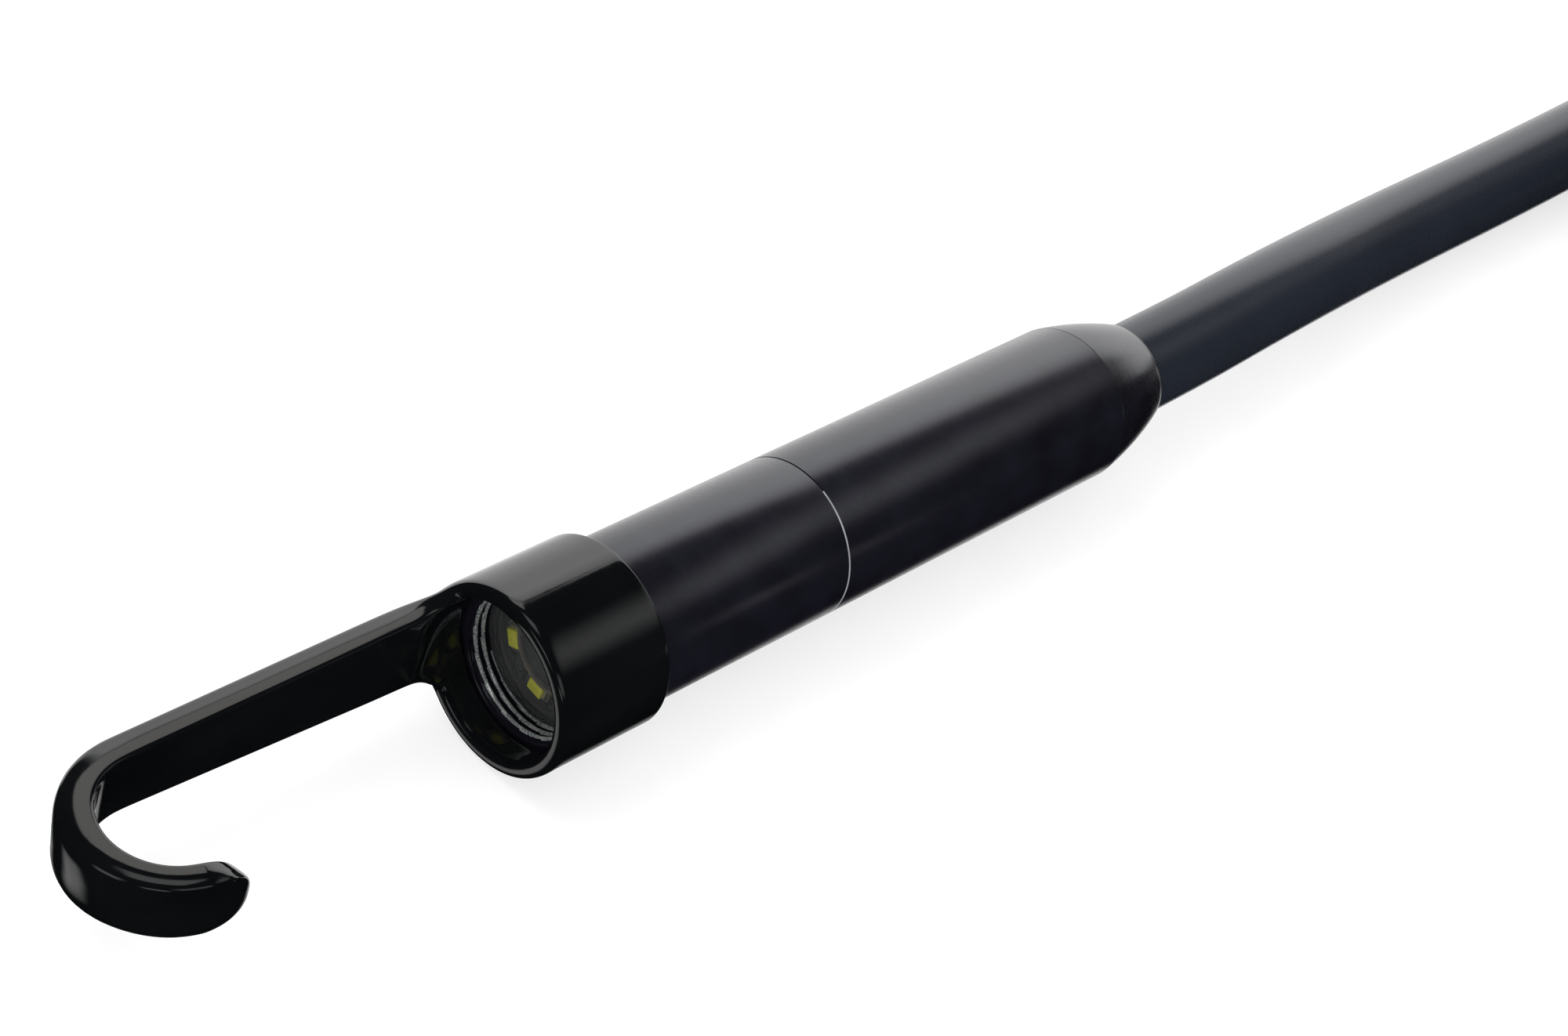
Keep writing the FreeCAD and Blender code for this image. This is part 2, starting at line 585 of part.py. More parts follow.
def cord_tube(label, points):
    """Round tube along a cord path, checked against its section times its length."""
    path = cord_path(points)
    heading = FreeCAD.Vector(*points[1]) - FreeCAD.Vector(*points[0])
    ring = Part.Wire(Part.Circle(FreeCAD.Vector(*points[0]), heading, sheet.cable_radius).toShape())
    feature = doc.addObject("Part::Feature", label)
    feature.Shape = path.makePipeShell([ring], True, False)
    expected = math.pi * sheet.cable_radius ** 2 * path.Length
    print("%s length %.1f mm, volume %.1f, section times length %.1f"
          % (label, path.Length, feature.Shape.Volume, expected))
    finish(feature, label)


def upright_ring(name, inner, outer, low, high):
    """A flat ring about a vertical axis at the coil's centre."""
    rings = []
    for suffix, radius in (("outside", outer), ("hole", inner)):
        thing = doc.addObject("Part::Cylinder", "%s_%s" % (name, suffix))
        thing.Placement = FreeCAD.Placement(FreeCAD.Vector(sheet.coil_x, COIL_Y, 0), FreeCAD.Rotation())
        rings.append(bind(thing, Radius=radius, Height="%s - (%s)" % (high, low), Placement__Base__z=low))
    return cut(name, rings[0], rings[1])


def coil_and_tie():
    """The coil's outer shape, two layers of turns, and the strap that holds it."""
    half_width = "(dims.coil_turns / 2 * dims.cable_radius + dims.cable_radius)"
    inner = "dims.coil_radius - " + half_width
    outer = "dims.coil_radius + " + half_width
    low = "dims.floor_z + dims.tie_thickness"
    high = low + " + 4 * dims.cable_radius"
    finish(upright_ring("cable_coil", inner, outer, low, high), "cable_coil")
    around = upright_ring("tie_outside", inner + " - dims.tie_thickness", outer + " + dims.tie_thickness",
                          "dims.floor_z", high + " + dims.tie_thickness")
    inside = upright_ring("tie_inside", inner, outer, low, high)
    strip = block("tie_strip", "dims.coil_x", "2 * dims.coil_radius", "dims.tie_width",
                  "4 * dims.coil_radius", str(COIL_Y))
    finish(common("coil_tie", cut("tie_band", around, inside), strip), "coil_tie")


# ---- plug ----

def back_from(distance):
    """World x of a place at a distance along the plug, which points in the -X direction."""
    return "dims.plug_tail_x - (%s)" % distance


def plug_rod(name, start, end, radius):
    return rod(name, back_from(end), "(%s) - (%s)" % (end, start), radius, str(PLUG_Y), str(PLUG_Z))


def plug_tube(name, start, end, outer, inner):
    return cut(name, plug_rod(name + "_outside", start, end, outer),
               plug_rod(name + "_bore", start, end, inner))


def plug_boot():
    """Tapered strain relief with a flange that the clamp holds."""
    taper = cone("boot_taper", back_from("dims.boot_length"), "dims.boot_length", "dims.boot_radius",
                 "dims.boot_tip_radius", str(PLUG_Y), str(PLUG_Z))
    flange_end = "dims.boot_length + dims.boot_flange_length"
    flange = plug_rod("boot_flange", "dims.boot_length", flange_end, "dims.boot_flange_radius")
    bore = plug_rod("boot_bore", "0", flange_end, "dims.cable_radius + dims.slip")
    finish(cut("plug_boot", join("boot_outside", [taper, flange]), bore), "plug_boot")


def plug_clamp():
    """Rear nut that pulls the boot's flange against the shell."""
    end = "dims.clamp_start + dims.clamp_length"
    outside = plug_rod("clamp_outside", "dims.clamp_start", end, "dims.clamp_radius")
    mouth = plug_rod("clamp_mouth_bore", "dims.clamp_start", "dims.boot_length", "dims.clamp_mouth")
    thread = plug_rod("clamp_thread_bore", "dims.boot_length", end, "dims.clamp_bore")
    finish(cut("plug_clamp", outside, join("clamp_hollow", [mouth, thread])), "plug_clamp")


def plug_body():
    """Metal shell: threaded tail, collar, plain sleeve for the nut, seal seat and spigot."""
    outside = join("shell_outside", [
        plug_rod("shell_tail", "dims.shell_start", "dims.shell_collar", "dims.shell_tail_radius"),
        plug_rod("shell_ridge", "dims.shell_collar", "dims.shell_sleeve", "dims.shell_collar_radius"),
        plug_rod("shell_barrel", "dims.shell_sleeve", "dims.shell_end", "dims.shell_sleeve_radius"),
        plug_rod("shell_seat", "dims.shell_end", "dims.seal_seat_end", "dims.seal_seat_radius"),
        plug_rod("shell_spigot", "dims.shell_end", "dims.spigot_end", "dims.plug_spigot_radius"),
    ])
    bore = plug_rod("shell_hollow", "dims.shell_start", "dims.spigot_end", "dims.shell_bore")
    finish(cut("plug_body", outside, bore), "plug_body")


def coupling_nut():
    """Turning nut: a lip runs on the shell's sleeve, the wider front bore carries the thread."""
    outside = plug_rod("nut_outside", "dims.nut_start", "dims.nut_end", "dims.nut_radius")
    lip = plug_rod("nut_lip_bore", "dims.nut_start", "dims.nut_lip_end", "dims.nut_bore")
    thread = plug_rod("nut_front_bore", "dims.nut_lip_end", "dims.nut_end", "dims.nut_thread_radius")
    finish(cut("coupling_nut", outside, join("nut_hollow", [lip, thread])), "coupling_nut")


def plug_inside():
    """Clip that keeps the nut on, insulating insert, contact pins and the face seal."""
    finish(plug_tube("nut_clip", "dims.clip_start", "dims.clip_start + dims.clip_length",
                     "dims.clip_radius", "dims.shell_sleeve_radius"), "nut_clip")
    holes = pin_set("insert_hole", "dims.insert_start", "dims.insert_end")
    insert = plug_rod("insert_blank", "dims.insert_start", "dims.insert_end", "dims.shell_bore")
    finish(cut("plug_insert", insert, join("insert_holes", holes)), "plug_insert")
    finish(group("pin_group", pin_set("pin", "dims.pin_start", "dims.pin_end")), "plug_pins")
    finish(torus("plug_seal", back_from("dims.shell_end + dims.face_seal_wire"),
                 "dims.seal_seat_radius + dims.face_seal_wire", "dims.face_seal_wire",
                 str(PLUG_Y), str(PLUG_Z)), "plug_seal")


def pin_set(name, start, end):
    pins = []
    for step in range(int(sheet.pin_count)):
        angle = "(360 / dims.pin_count * (%d + 0.5))" % step
        pins.append(rod("%s_%d" % (name, step), back_from(end), "(%s) - (%s)" % (end, start),
                        "dims.pin_radius", "%s + dims.pin_circle * cos(%s)" % (PLUG_Y, angle),
                        "%s + dims.pin_circle * sin(%s)" % (PLUG_Z, angle)))
    return pins


def check_and_export():
    """Stop on any failed feature or bad shape, then write one file for each sub-part."""
    doc.recompute()
    for thing in doc.Objects:
        if "Invalid" in thing.State or "Error" in thing.State:
            raise RuntimeError("%s failed: %s" % (thing.Label, thing.State))
    for thing in subparts:
        if thing.Shape.isNull() or not thing.Shape.isValid():
            raise RuntimeError("%s has no valid shape" % thing.Label)
    os.makedirs("parts", exist_ok=True)
    for thing in subparts:
        thing.Shape.exportStep(os.path.join("parts", thing.Label + ".step"))
        print("%-18s %d solids, %.2f mm3" % (thing.Label, len(thing.Shape.Solids), thing.Shape.Volume))


front_barrel()
rear_barrel()
tail_cap()
barrel_seals()
window_parts()
light_ring()
lens_barrel()
lenses()
camera_block()
stack_holders()
electronics()
hook_attachment()
grip_ring()
cord_tube("cable_run", RUN_ROUTE)
coil_and_tie()
cord_tube("cable_lead", LEAD_ROUTE)
plug_boot()
plug_clamp()
plug_body()
coupling_nut()
plug_inside()
check_and_export()
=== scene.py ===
"""Looks of the inspection camera head: meshes, materials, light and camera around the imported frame."""
import math

import bmesh
import bpy
from mathutils import Matrix, Vector


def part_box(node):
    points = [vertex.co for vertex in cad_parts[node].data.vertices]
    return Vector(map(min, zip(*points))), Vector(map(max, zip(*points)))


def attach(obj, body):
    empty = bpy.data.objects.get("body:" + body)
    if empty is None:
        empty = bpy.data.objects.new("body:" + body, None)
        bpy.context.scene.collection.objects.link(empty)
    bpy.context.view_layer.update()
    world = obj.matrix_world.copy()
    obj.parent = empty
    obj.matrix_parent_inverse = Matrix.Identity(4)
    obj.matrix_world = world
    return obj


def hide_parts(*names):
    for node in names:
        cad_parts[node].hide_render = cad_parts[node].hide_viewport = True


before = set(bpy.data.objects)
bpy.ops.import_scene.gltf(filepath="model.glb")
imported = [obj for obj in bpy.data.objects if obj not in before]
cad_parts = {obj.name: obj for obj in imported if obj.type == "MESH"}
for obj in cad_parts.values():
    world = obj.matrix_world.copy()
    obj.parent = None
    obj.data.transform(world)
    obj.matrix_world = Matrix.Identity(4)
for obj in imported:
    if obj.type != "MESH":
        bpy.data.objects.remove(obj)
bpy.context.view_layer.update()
scene = bpy.context.scene
MM = 0.001
TURN = 2 * math.pi


def mm(*values):
    """A point given in millimetres, in metres."""
    return Vector(value * MM for value in values)


def node_box(node):
    """Lowest and highest corner of a CAD node, in millimetres."""
    return tuple(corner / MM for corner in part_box(node))


def ease(value):
    """A smooth step from 0 to 1 as value goes from 0 to 1."""
    part = min(max(value, 0.0), 1.0)
    return part * part * (3 - 2 * part)


def round_trip(steps, first=0.0):
    """Equally spaced angles of a full turn, the first one given."""
    return [first + TURN * step / steps for step in range(steps)]


def around(centre, radius, angle):
    """The point at an angle on a circle."""
    return centre[0] + radius * math.cos(angle), centre[1] + radius * math.sin(angle)


def add_object(name, data):
    """A new object in the scene."""
    made = bpy.data.objects.new(name, data)
    scene.collection.objects.link(made)
    return made


# ---- camera and floor height

FLOOR_Z = node_box("hook_attachment")[0].z
CAMERA_PLACE = mm(-90.06, -70.70, 111.22)
CAMERA_TARGET = mm(19.65, 1.21, 0.0)
CAMERA_ROLL = math.radians(18.85)
CAMERA_LENS = 75.07
SENSOR_WIDTH = 36.0
NEAREST_SEEN = 0.005


def make_camera():
    """Camera above the nose, rolled about its own line of sight."""
    back = (CAMERA_PLACE - CAMERA_TARGET).normalized()
    level = Vector((0, 0, 1)).cross(back).normalized()
    upright = back.cross(level)
    right = level * math.cos(CAMERA_ROLL) + upright * math.sin(CAMERA_ROLL)
    up = back.cross(right)
    data = bpy.data.cameras.new("camera")
    data.lens = CAMERA_LENS
    data.sensor_width = SENSOR_WIDTH
    data.clip_start = NEAREST_SEEN
    camera = add_object("camera", data)
    axes = Matrix((right, up, back)).transposed()
    camera.matrix_world = Matrix.Translation(CAMERA_PLACE) @ axes.to_4x4()
    scene.camera = camera


make_camera()

# ---- cable

CABLE_RADIUS = 2.75
COIL_RADIUS = 29.0
COIL_TURNS = 4.5
COIL_PER_TURN = 16
COIL_CLIMB = 4  # steps over which the coil climbs from its lower layer to its upper one
TIE_THICKNESS = 0.5

# the points of the CAD route, in millimetres; four are moved by up to 0.4 mm
RUN_ROUTE = [
    (38.0, 0.0, 0.0),
    (50.0, 0.0, 0.0),
    (62.0, 0.75, -0.35),
    (76.0, 1.88, -1.75),
    (92.0, 2.22, -2.41),
    (108.0, 2.55, -2.41),
    (121.0, 3.1, -1.91),
]
LEAD_ROUTE = [
    (121.0, -67.3, 3.59),
    (109.0, -67.5, 3.2),
    (97.5, -64.6, 2.34),
    (86.5, -64.6, 2.34),
]


def coil_points():
    """Turns of the coil: a spiral inwards on the surface, then one outwards on top of it."""
    pitch = 2 * CABLE_RADIUS
    outer = COIL_RADIUS + COIL_TURNS / 4 * pitch
    centre = (RUN_ROUTE[-1][0], RUN_ROUTE[-1][1] - outer)
    low = FLOOR_Z + TIE_THICKNESS + CABLE_RADIUS
    count = int(COIL_TURNS * COIL_PER_TURN)
    points = []
    for step in range(1, count):
        turn = step / COIL_PER_TURN
        inward = min(turn, COIL_TURNS - turn)
        radius = outer - pitch * inward
        lift = pitch * ease((step - count / 2) / COIL_CLIMB + 0.5)
        points.append((*around(centre, radius, TURN / 4 - TURN * turn), low + lift))
    return points


def make_cable():
    """The whole cable as one curve: the run from the head, the coil and the lead to the plug."""
    route = RUN_ROUTE + coil_points() + LEAD_ROUTE
    data = bpy.data.curves.new("cable", "CURVE")
    data.dimensions = "3D"
    spline = data.splines.new("NURBS")
    spline.points.add(len(route) - 1)
    for point, place in zip(spline.points, route):
        point.co = (*mm(*place), 1.0)
        point.radius = CABLE_RADIUS * MM
    spline.order_u = 3
    spline.use_endpoint_u = True
    spline.resolution_u = 6
    data.bevel_depth = 1.0  # times each point's radius, which keeps the curve's own box tight
    data.bevel_resolution = 10
    data.use_fill_caps = True
    cable = add_object("cable", data)
    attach(cable, "head")
    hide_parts("cable_run", "cable_coil", "cable_lead")
    return cable


cable = make_cable()

# ---- materials

NOISE_LOW, NOISE_HIGH = 0.3, 0.7  # most of a noise texture's values lie between these


class Finish:
    """A Principled material being built, with short calls for the nodes that this scene uses."""

    def __init__(self, name, sockets):
        self.material = bpy.data.materials.new(name)
        self.material.use_nodes = True
        self.tree = self.material.node_tree
        self.shader = self.tree.nodes["Principled BSDF"]
        for socket, value in sockets.items():
            self.shader.inputs[socket].default_value = value
        self.place = self.add("TexCoord").outputs["Object"]

    def add(self, kind, **values):
        """A shader node; values are its own settings, or its inputs where it has no such setting."""
        node = self.tree.nodes.new("ShaderNode" + kind)
        for name, value in values.items():
            if hasattr(node, name):
                setattr(node, name, value)
                continue
            socket = node.inputs[name]
            if isinstance(value, bpy.types.NodeSocket):
                self.tree.links.new(value, socket)
            else:
                socket.default_value = value
        return node

    def stretched(self, scale):
        """Object coordinates, scaled along each axis."""
        return self.add("Mapping", Vector=self.place, Scale=scale).outputs[0]

    def noise(self, size, detail=3.0, stretch=(1.0, 1.0, 1.0)):
        """Noise with features of about that size in millimetres, longer where stretch is above 1."""
        scale = [1 / (size * MM * part) for part in stretch]
        node = self.add("TexNoise", Vector=self.stretched(scale), Scale=1.0, Detail=detail)
        return node.outputs["Fac"]

    def cell_edges(self, size):
        """Distance to the nearest edge of cells of about that size in millimetres."""
        node = self.add("TexVoronoi", feature="DISTANCE_TO_EDGE", Vector=self.place,
                        Scale=1 / (size * MM))
        return node.outputs["Distance"]

    def waves(self, pitch, direction, distort):
        """Wavering bands across one axis, a pitch apart in millimetres."""
        per_wave = TURN / 20  # a wave texture of scale 1 repeats after this length
        scale = [per_wave / (pitch * MM)] * 3
        node = self.add("TexWave", bands_direction=direction, Vector=self.stretched(scale),
                        Scale=1.0, Distortion=distort, Detail=1.0)
        return node.outputs["Fac"]

    def span(self, source, low, high, start=NOISE_LOW, end=NOISE_HIGH):
        """Map source from start..end to low..high."""
        node = self.add("MapRange", Value=source)
        for index, value in enumerate((start, end, low, high), start=1):
            node.inputs[index].default_value = value
        return node.outputs[0]

    def combine(self, operation, first, second):
        """A sum, product or the like of two sockets or numbers."""
        node = self.add("Math", operation=operation)
        for socket, value in zip(node.inputs, (first, second)):
            if isinstance(value, bpy.types.NodeSocket):
                self.tree.links.new(value, socket)
            else:
                socket.default_value = value
        return node.outputs[0]

    def blend_colours(self, source, stops):
        """A colour ramp; stops are (place, (r, g, b))."""
        node = self.add("ValToRGB")
        self.tree.links.new(source, node.inputs[0])
        ramp = node.color_ramp
        while len(ramp.elements) < len(stops):
            ramp.elements.new(1.0)
        for element, (place, colour) in zip(ramp.elements, stops):
            element.position = place
            element.color = (*colour, 1.0)
        return node.outputs[0]

    def mix(self, first, second, share):
        """A weighted sum of two noises; share is the first one's."""
        return self.combine("ADD", self.combine("MULTIPLY", first, share),
                            self.combine("MULTIPLY", second, 1 - share))

    def feed(self, socket, source):
        self.tree.links.new(source, self.shader.inputs[socket])

    def paint(self, source, *stops):
        """Base colour by a ramp over source; stops are (place, (r, g, b))."""
        self.feed("Base Color", self.blend_colours(source, stops))

    def polish(self, source, low, high, start=NOISE_LOW, end=NOISE_HIGH):
        """Roughness from low to high as source goes from start to end."""
        self.feed("Roughness", self.span(source, low, high, start, end))

    def bump(self, height, depth):
        """Relief of that depth in millimetres, on top of any relief already there."""
        node = self.add("Bump", Height=height, Distance=depth * MM, Strength=1.0)
        before = self.shader.inputs["Normal"]
        if before.is_linked:
            self.tree.links.new(before.links[0].from_socket, node.inputs["Normal"])
        self.tree.links.new(node.outputs[0], before)


def colour(red, green, blue):
    return (red, green, blue, 1.0)


def scaled(base, share):
    """A colour made darker or lighter by a factor."""
    return [part * share for part in base]


def moulded_black(name, base, rough, wobble):
    """Glossy injection-moulded plastic: slow waviness, faint flow marks and a trace of grain."""
    look = Finish(name, {"IOR": 1.5, "Specular IOR Level": 0.5})
    flow = look.noise(3.2, 2.0, (2.5, 1.0, 1.0))
    specks = look.noise(0.35, 4.0)
    look.paint(flow, (0.3, scaled(base, 0.6)), (0.7, base))
    look.polish(specks, rough * 0.75, rough * 1.35)
    look.bump(flow, wobble)
    look.bump(specks, 0.0006)
    return look.material


def turned_black(name, rough, base):
    """Black anodised aluminium off the lathe: fine rings round the axis and a faint satin mottle."""
    look = Finish(name, {"IOR": 1.52, "Specular IOR Level": 0.5, "Specular Tint": colour(0.92, 0.94, 1.0)})
    rings = look.noise(0.035, 2.0, (1.0, 60.0, 60.0))
    mottle = look.noise(0.16, 4.0, (1.0, 3.0, 3.0))
    clouds = look.noise(2.4, 3.0)
    look.paint(clouds, (0.3, base), (0.75, scaled(base, 1.9)))
    look.polish(look.mix(rings, mottle, 0.55), rough * 0.8, rough * 1.3)
    look.bump(rings, 0.0016)
    look.bump(mottle, 0.0012)
    return look.material


def bright_metal(name, base, rough, stretch=(1.0, 20.0, 20.0)):
    """Plated or bare metal with fine tool marks and cloudy wear."""
    look = Finish(name, {"Metallic": 1.0})
    marks = look.noise(0.06, 2.0, stretch)
    wear = look.noise(1.6, 4.0)
    look.paint(wear, (0.35, scaled(base, 0.72)), (0.65, base))
    look.polish(marks, rough * 0.7, rough * 1.5)
    look.bump(marks, 0.0012)
    return look.material


def thread_metal():
    """Anodised thread with its finish worn to bare metal in fine specks, so that the crests sparkle."""
    look = Finish("thread_metal", {"IOR": 1.6, "Specular IOR Level": 0.8})
    sparkle = look.noise(0.07, 3.0)
    wear = look.noise(0.9, 2.0)
    rubbed = look.mix(sparkle, wear, 0.7)
    look.paint(rubbed, (0.36, (0.03, 0.04, 0.042)), (0.46, (0.24, 0.28, 0.28)), (0.60, (0.85, 0.88, 0.84)))
    look.feed("Metallic", look.span(rubbed, 0.1, 0.7, 0.38, 0.62))
    look.polish(sparkle, 0.12, 0.30)
    look.bump(sparkle, 0.0025)
    return look.material


def rubber(name, base, rough, grain=0.12):
    """Matte elastomer: fine pores and a slightly dusty, uneven tone."""
    look = Finish(name, {"IOR": 1.5, "Specular IOR Level": 0.4})
    pores = look.noise(grain, 5.0)
    dust = look.noise(2.5, 4.0)
    pale = [part * 1.5 + 0.002 for part in base]
    look.paint(dust, (0.35, base), (0.7, pale))
    look.polish(pores, rough * 0.85, rough * 1.15)
    look.bump(pores, 0.004)
    return look.material


def jacket():
    """The cable's smooth extruded jacket: long faint draw lines and a very fine grain."""
    look = Finish("cable_jacket", {"IOR": 1.46, "Specular IOR Level": 0.27})
    grain = look.noise(0.09, 4.0)
    draw = look.noise(0.5, 3.0, (30.0, 1.0, 1.0))
    tone = look.noise(7.0, 3.0)
    look.paint(tone, (0.3, (0.0160, 0.0195, 0.0280)), (0.7, (0.0190, 0.0230, 0.0330)))
    look.polish(grain, 0.21, 0.29)
    look.bump(draw, 0.0035)
    look.bump(grain, 0.0015)
    return look.material


def circuit_board():
    """Black solder mask: glossy and mottled, with bare copper traces just showing through."""
    look = Finish("board", {"IOR": 1.52, "Specular IOR Level": 0.6, "Coat Weight": 0.4,
                            "Coat Roughness": 0.12})
    mottle = look.noise(0.28, 5.0)
    traces = look.cell_edges(0.7)
    look.paint(mottle, (0.42, (0.002, 0.003, 0.003)), (0.60, (0.010, 0.011, 0.007)),
               (0.74, (0.05, 0.05, 0.03)))
    look.polish(mottle, 0.16, 0.5, 0.35, 0.65)
    look.bump(look.span(traces, 0.0, 1.0, 0.0, 0.12), 0.010)
    look.bump(mottle, 0.02)
    return look.material


def phosphor():
    """Yellow-green lamp phosphor, slightly translucent and grainy; its faint emission is a painted glow that
    brightens it in the shaded nose, not the light of a lit lamp.
    """
    look = Finish("led_phosphor", {"IOR": 1.45, "Subsurface Weight": 0.25, "Subsurface Scale": 0.0003,
                                   "Emission Color": colour(0.75, 0.78, 0.03), "Emission Strength": 0.03})
    grains = look.noise(0.09, 4.0)
    look.paint(grains, (0.3, (0.34, 0.33, 0.010)), (0.7, (0.52, 0.52, 0.035)))
    look.polish(grains, 0.25, 0.5)
    look.bump(grains, 0.004)
    return look.material


def glass(name, base, alpha, rough):
    """Coated optical glass: almost clear, with a faint tinted sheen that drifts over it."""
    look = Finish(name, {"IOR": 1.5, "Alpha": alpha, "Coat Weight": 0.5, "Coat Roughness": 0.02})
    drift = look.noise(2.0, 2.0)
    look.paint(drift, (0.3, scaled(base, 0.7)), (0.7, base))
    look.polish(drift, rough * 0.6, rough * 1.6)
    return look.material


def plain_plastic(name, base, rough, grain=0.1, relief=0.003):
    """Spark-textured or moulded technical plastic."""
    look = Finish(name, {"IOR": 1.5, "Specular IOR Level": 0.45})
    pits = look.noise(grain, 4.0)
    tone = look.noise(1.8, 3.0)
    look.paint(tone, (0.35, scaled(base, 0.7)), (0.65, base))
    look.polish(pits, rough * 0.8, rough * 1.2)
    look.bump(pits, relief)
    return look.material


def woven_tie():
    """Hook-and-loop strap: a fine crossed weave under a short nap."""
    look = Finish("tie_fabric", {"Sheen Weight": 0.35, "Sheen Roughness": 0.5, "Specular IOR Level": 0.2})
    warp = look.waves(0.45, "X", 1.0)
    weft = look.waves(0.45, "Y", 1.0)
    nap = look.noise(0.15, 4.0)
    weave = look.combine("MAXIMUM", warp, weft)
    both = look.combine("MULTIPLY", weave, nap)
    look.paint(both, (0.1, (0.006, 0.006, 0.007)), (0.6, (0.05, 0.05, 0.055)))
    look.polish(nap, 0.75, 0.95)
    look.bump(weave, 0.10)
    look.bump(nap, 0.05)
    return look.material


# ---- mesh helpers

SEGMENTS = 144
FINE_SEGMENTS = 240
AXIS = (0.0, 0.0)


def place_piece(name, mesh, body, node, materials, sharp=32.0, slot=None):
    """Turn a bmesh into a shown piece; its slot argument is not used."""
    bmesh.ops.recalc_face_normals(mesh, faces=mesh.faces)
    for face in mesh.faces:
        face.smooth = True
    data = bpy.data.meshes.new(name)
    mesh.to_mesh(data)
    mesh.free()
    data.set_sharp_from_angle(angle=math.radians(sharp))
    for material in materials:
        data.materials.append(material)
    piece = add_object(name, data)
    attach(piece, body)
    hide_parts(node)
    return piece


def soften(corners, steps=4):
    """Outline of a turned section: each (x, radius, rounding) corner of a closed loop becomes an arc."""
    outline = []
    count = len(corners)
    for index, (x, radius, rounding) in enumerate(corners):
        here = Vector((x, radius))
        if rounding <= 0:
            outline.append(tuple(here))
            continue
        before = Vector(corners[index - 1][:2]) - here
        after = Vector(corners[(index + 1) % count][:2]) - here
        half = before.angle(after) / 2
        reach = rounding / math.tan(half)
        start = here + before.normalized() * reach
        end = here + after.normalized() * reach
        middle = here + (before.normalized() + after.normalized()).normalized() * rounding / math.sin(half)
        first = start - middle
        sweep = first.angle_signed(end - middle)
        for step in range(steps + 1):
            outline.append(tuple(middle + Matrix.Rotation(-sweep * step / steps, 2) @ first))
    return outline


def ring(mesh, x, radius, segments, centre):
    """Points round an axis along X. The radius may be a function of the angle; a zero radius is one point."""
    if not callable(radius) and radius < 1e-6:
        return [mesh.verts.new(mm(x, *centre))]
    points = []
    for angle in round_trip(segments):
        reach = radius(angle) if callable(radius) else radius
        points.append(mesh.verts.new(mm(x, *around(centre, reach, angle))))
    return points


def bridge(mesh, first, second, material=0):
    """Faces between two rings, or between a ring and a single point."""
    count = max(len(first), len(second))
    for step in range(count):
        after = (step + 1) % count
        if len(first) == 1:
            face = mesh.faces.new((first[0], second[after], second[step]))
        elif len(second) == 1:
            face = mesh.faces.new((first[step], first[after], second[0]))
        else:
            face = mesh.faces.new((first[step], first[after], second[after], second[step]))
        face.material_index = material


def lathe(mesh, outline, centre=AXIS, segments=SEGMENTS, closed=True, materials=None):
    """Turn an outline of (x, radius) about a line along X; materials gives the index of each band."""
    rings = [ring(mesh, x, radius, segments, centre) for x, radius in outline]
    pairs = list(zip(rings, rings[1:]))
    if closed:
        pairs.append((rings[-1], rings[0]))
    for index, (first, second) in enumerate(pairs):
        bridge(mesh, first, second, materials(index) if materials else 0)


def turned(name, node, material, outline, body="head", centre=AXIS, segments=SEGMENTS, closed=True,
           **looks):
    """A piece of one material, turned from an outline."""
    mesh = bmesh.new()
    lathe(mesh, outline, centre, segments, closed)
    place_piece(name, mesh, body, node, [material], **looks)


def hoop(low_x, high_x, inner, outer, roundings):
    """Outline of a plain ring; roundings are for its front inner, front outer, back outer and back inner."""
    places = ((low_x, inner), (low_x, outer), (high_x, outer), (high_x, inner))
    return soften([(*place, rounding) for place, rounding in zip(places, roundings)])


def round_wire(x, circle, wire, steps):
    """Outline of a round ring of that wire radius, its middle on a circle round the axis."""
    return [around((x, circle), wire, angle) for angle in round_trip(steps)]


def weave(mesh, grid):
    """Faces between neighbouring rows of points."""
    for first, second in zip(grid, grid[1:]):
        for index in range(len(first) - 1):
            mesh.faces.new((first[index], first[index + 1], second[index + 1], second[index]))


def slab(mesh, centre, size, bevel, turn, material=0):
    """A small block with rounded edges, turned about X."""
    made = bmesh.ops.create_cube(mesh, size=1.0)
    corners = made["verts"]
    bmesh.ops.scale(mesh, vec=mm(*size), verts=corners)
    edges = list({edge for vertex in corners for edge in vertex.link_edges})
    rounded = bmesh.ops.bevel(mesh, geom=edges, offset=bevel * MM, segments=2, profile=0.5, affect="EDGES")
    faces = {face for face in rounded["faces"]} | {f for v in rounded["verts"] for f in v.link_faces}
    points = list({vertex for face in faces for vertex in face.verts})
    bmesh.ops.rotate(mesh, matrix=Matrix.Rotation(turn, 3, "X"), verts=points)
    bmesh.ops.translate(mesh, vec=mm(*centre), verts=points)
    for face in faces:
        face.material_index = material


# ---- barrels

BARREL_RADIUS = 4.5
SEAM_X = node_box("rear_barrel")[0].x
TAIL_X = node_box("tail_cap")[1].x
CREASE_X = TAIL_X - 5.45
WINDOW_X = node_box("window")[0].x
BORE_RADIUS = 3.9
BORE_END = 15.0
TUBE_BORE = 3.45
SPIGOT_RADIUS = 4.05  # the front tube's neck, which goes into the rear tube
SPIGOT_LENGTH = 4.0
SOCKET_RADIUS = 4.07
SOCKET_LENGTH = 4.1
SEAM_CHAMFER = 0.075
SEAM_HIGHLIGHT_Y = -1.1  # on the hook arm's side of this the chamfer at the seam stays black; on the other side it carries a painted highlight line of light grey
THREAD_MINOR = 3.73
THREAD_MAJOR = 4.02
THREAD_WORN = 3.86  # the finish is worn off nearer to the axis than this
THREAD_PITCH = 0.5
THREAD_MOUTH = THREAD_MAJOR + 0.05
THREAD_LEAD_IN = 0.16
THREAD_DEPTHS = 42  # rows of points from the window to the mouth


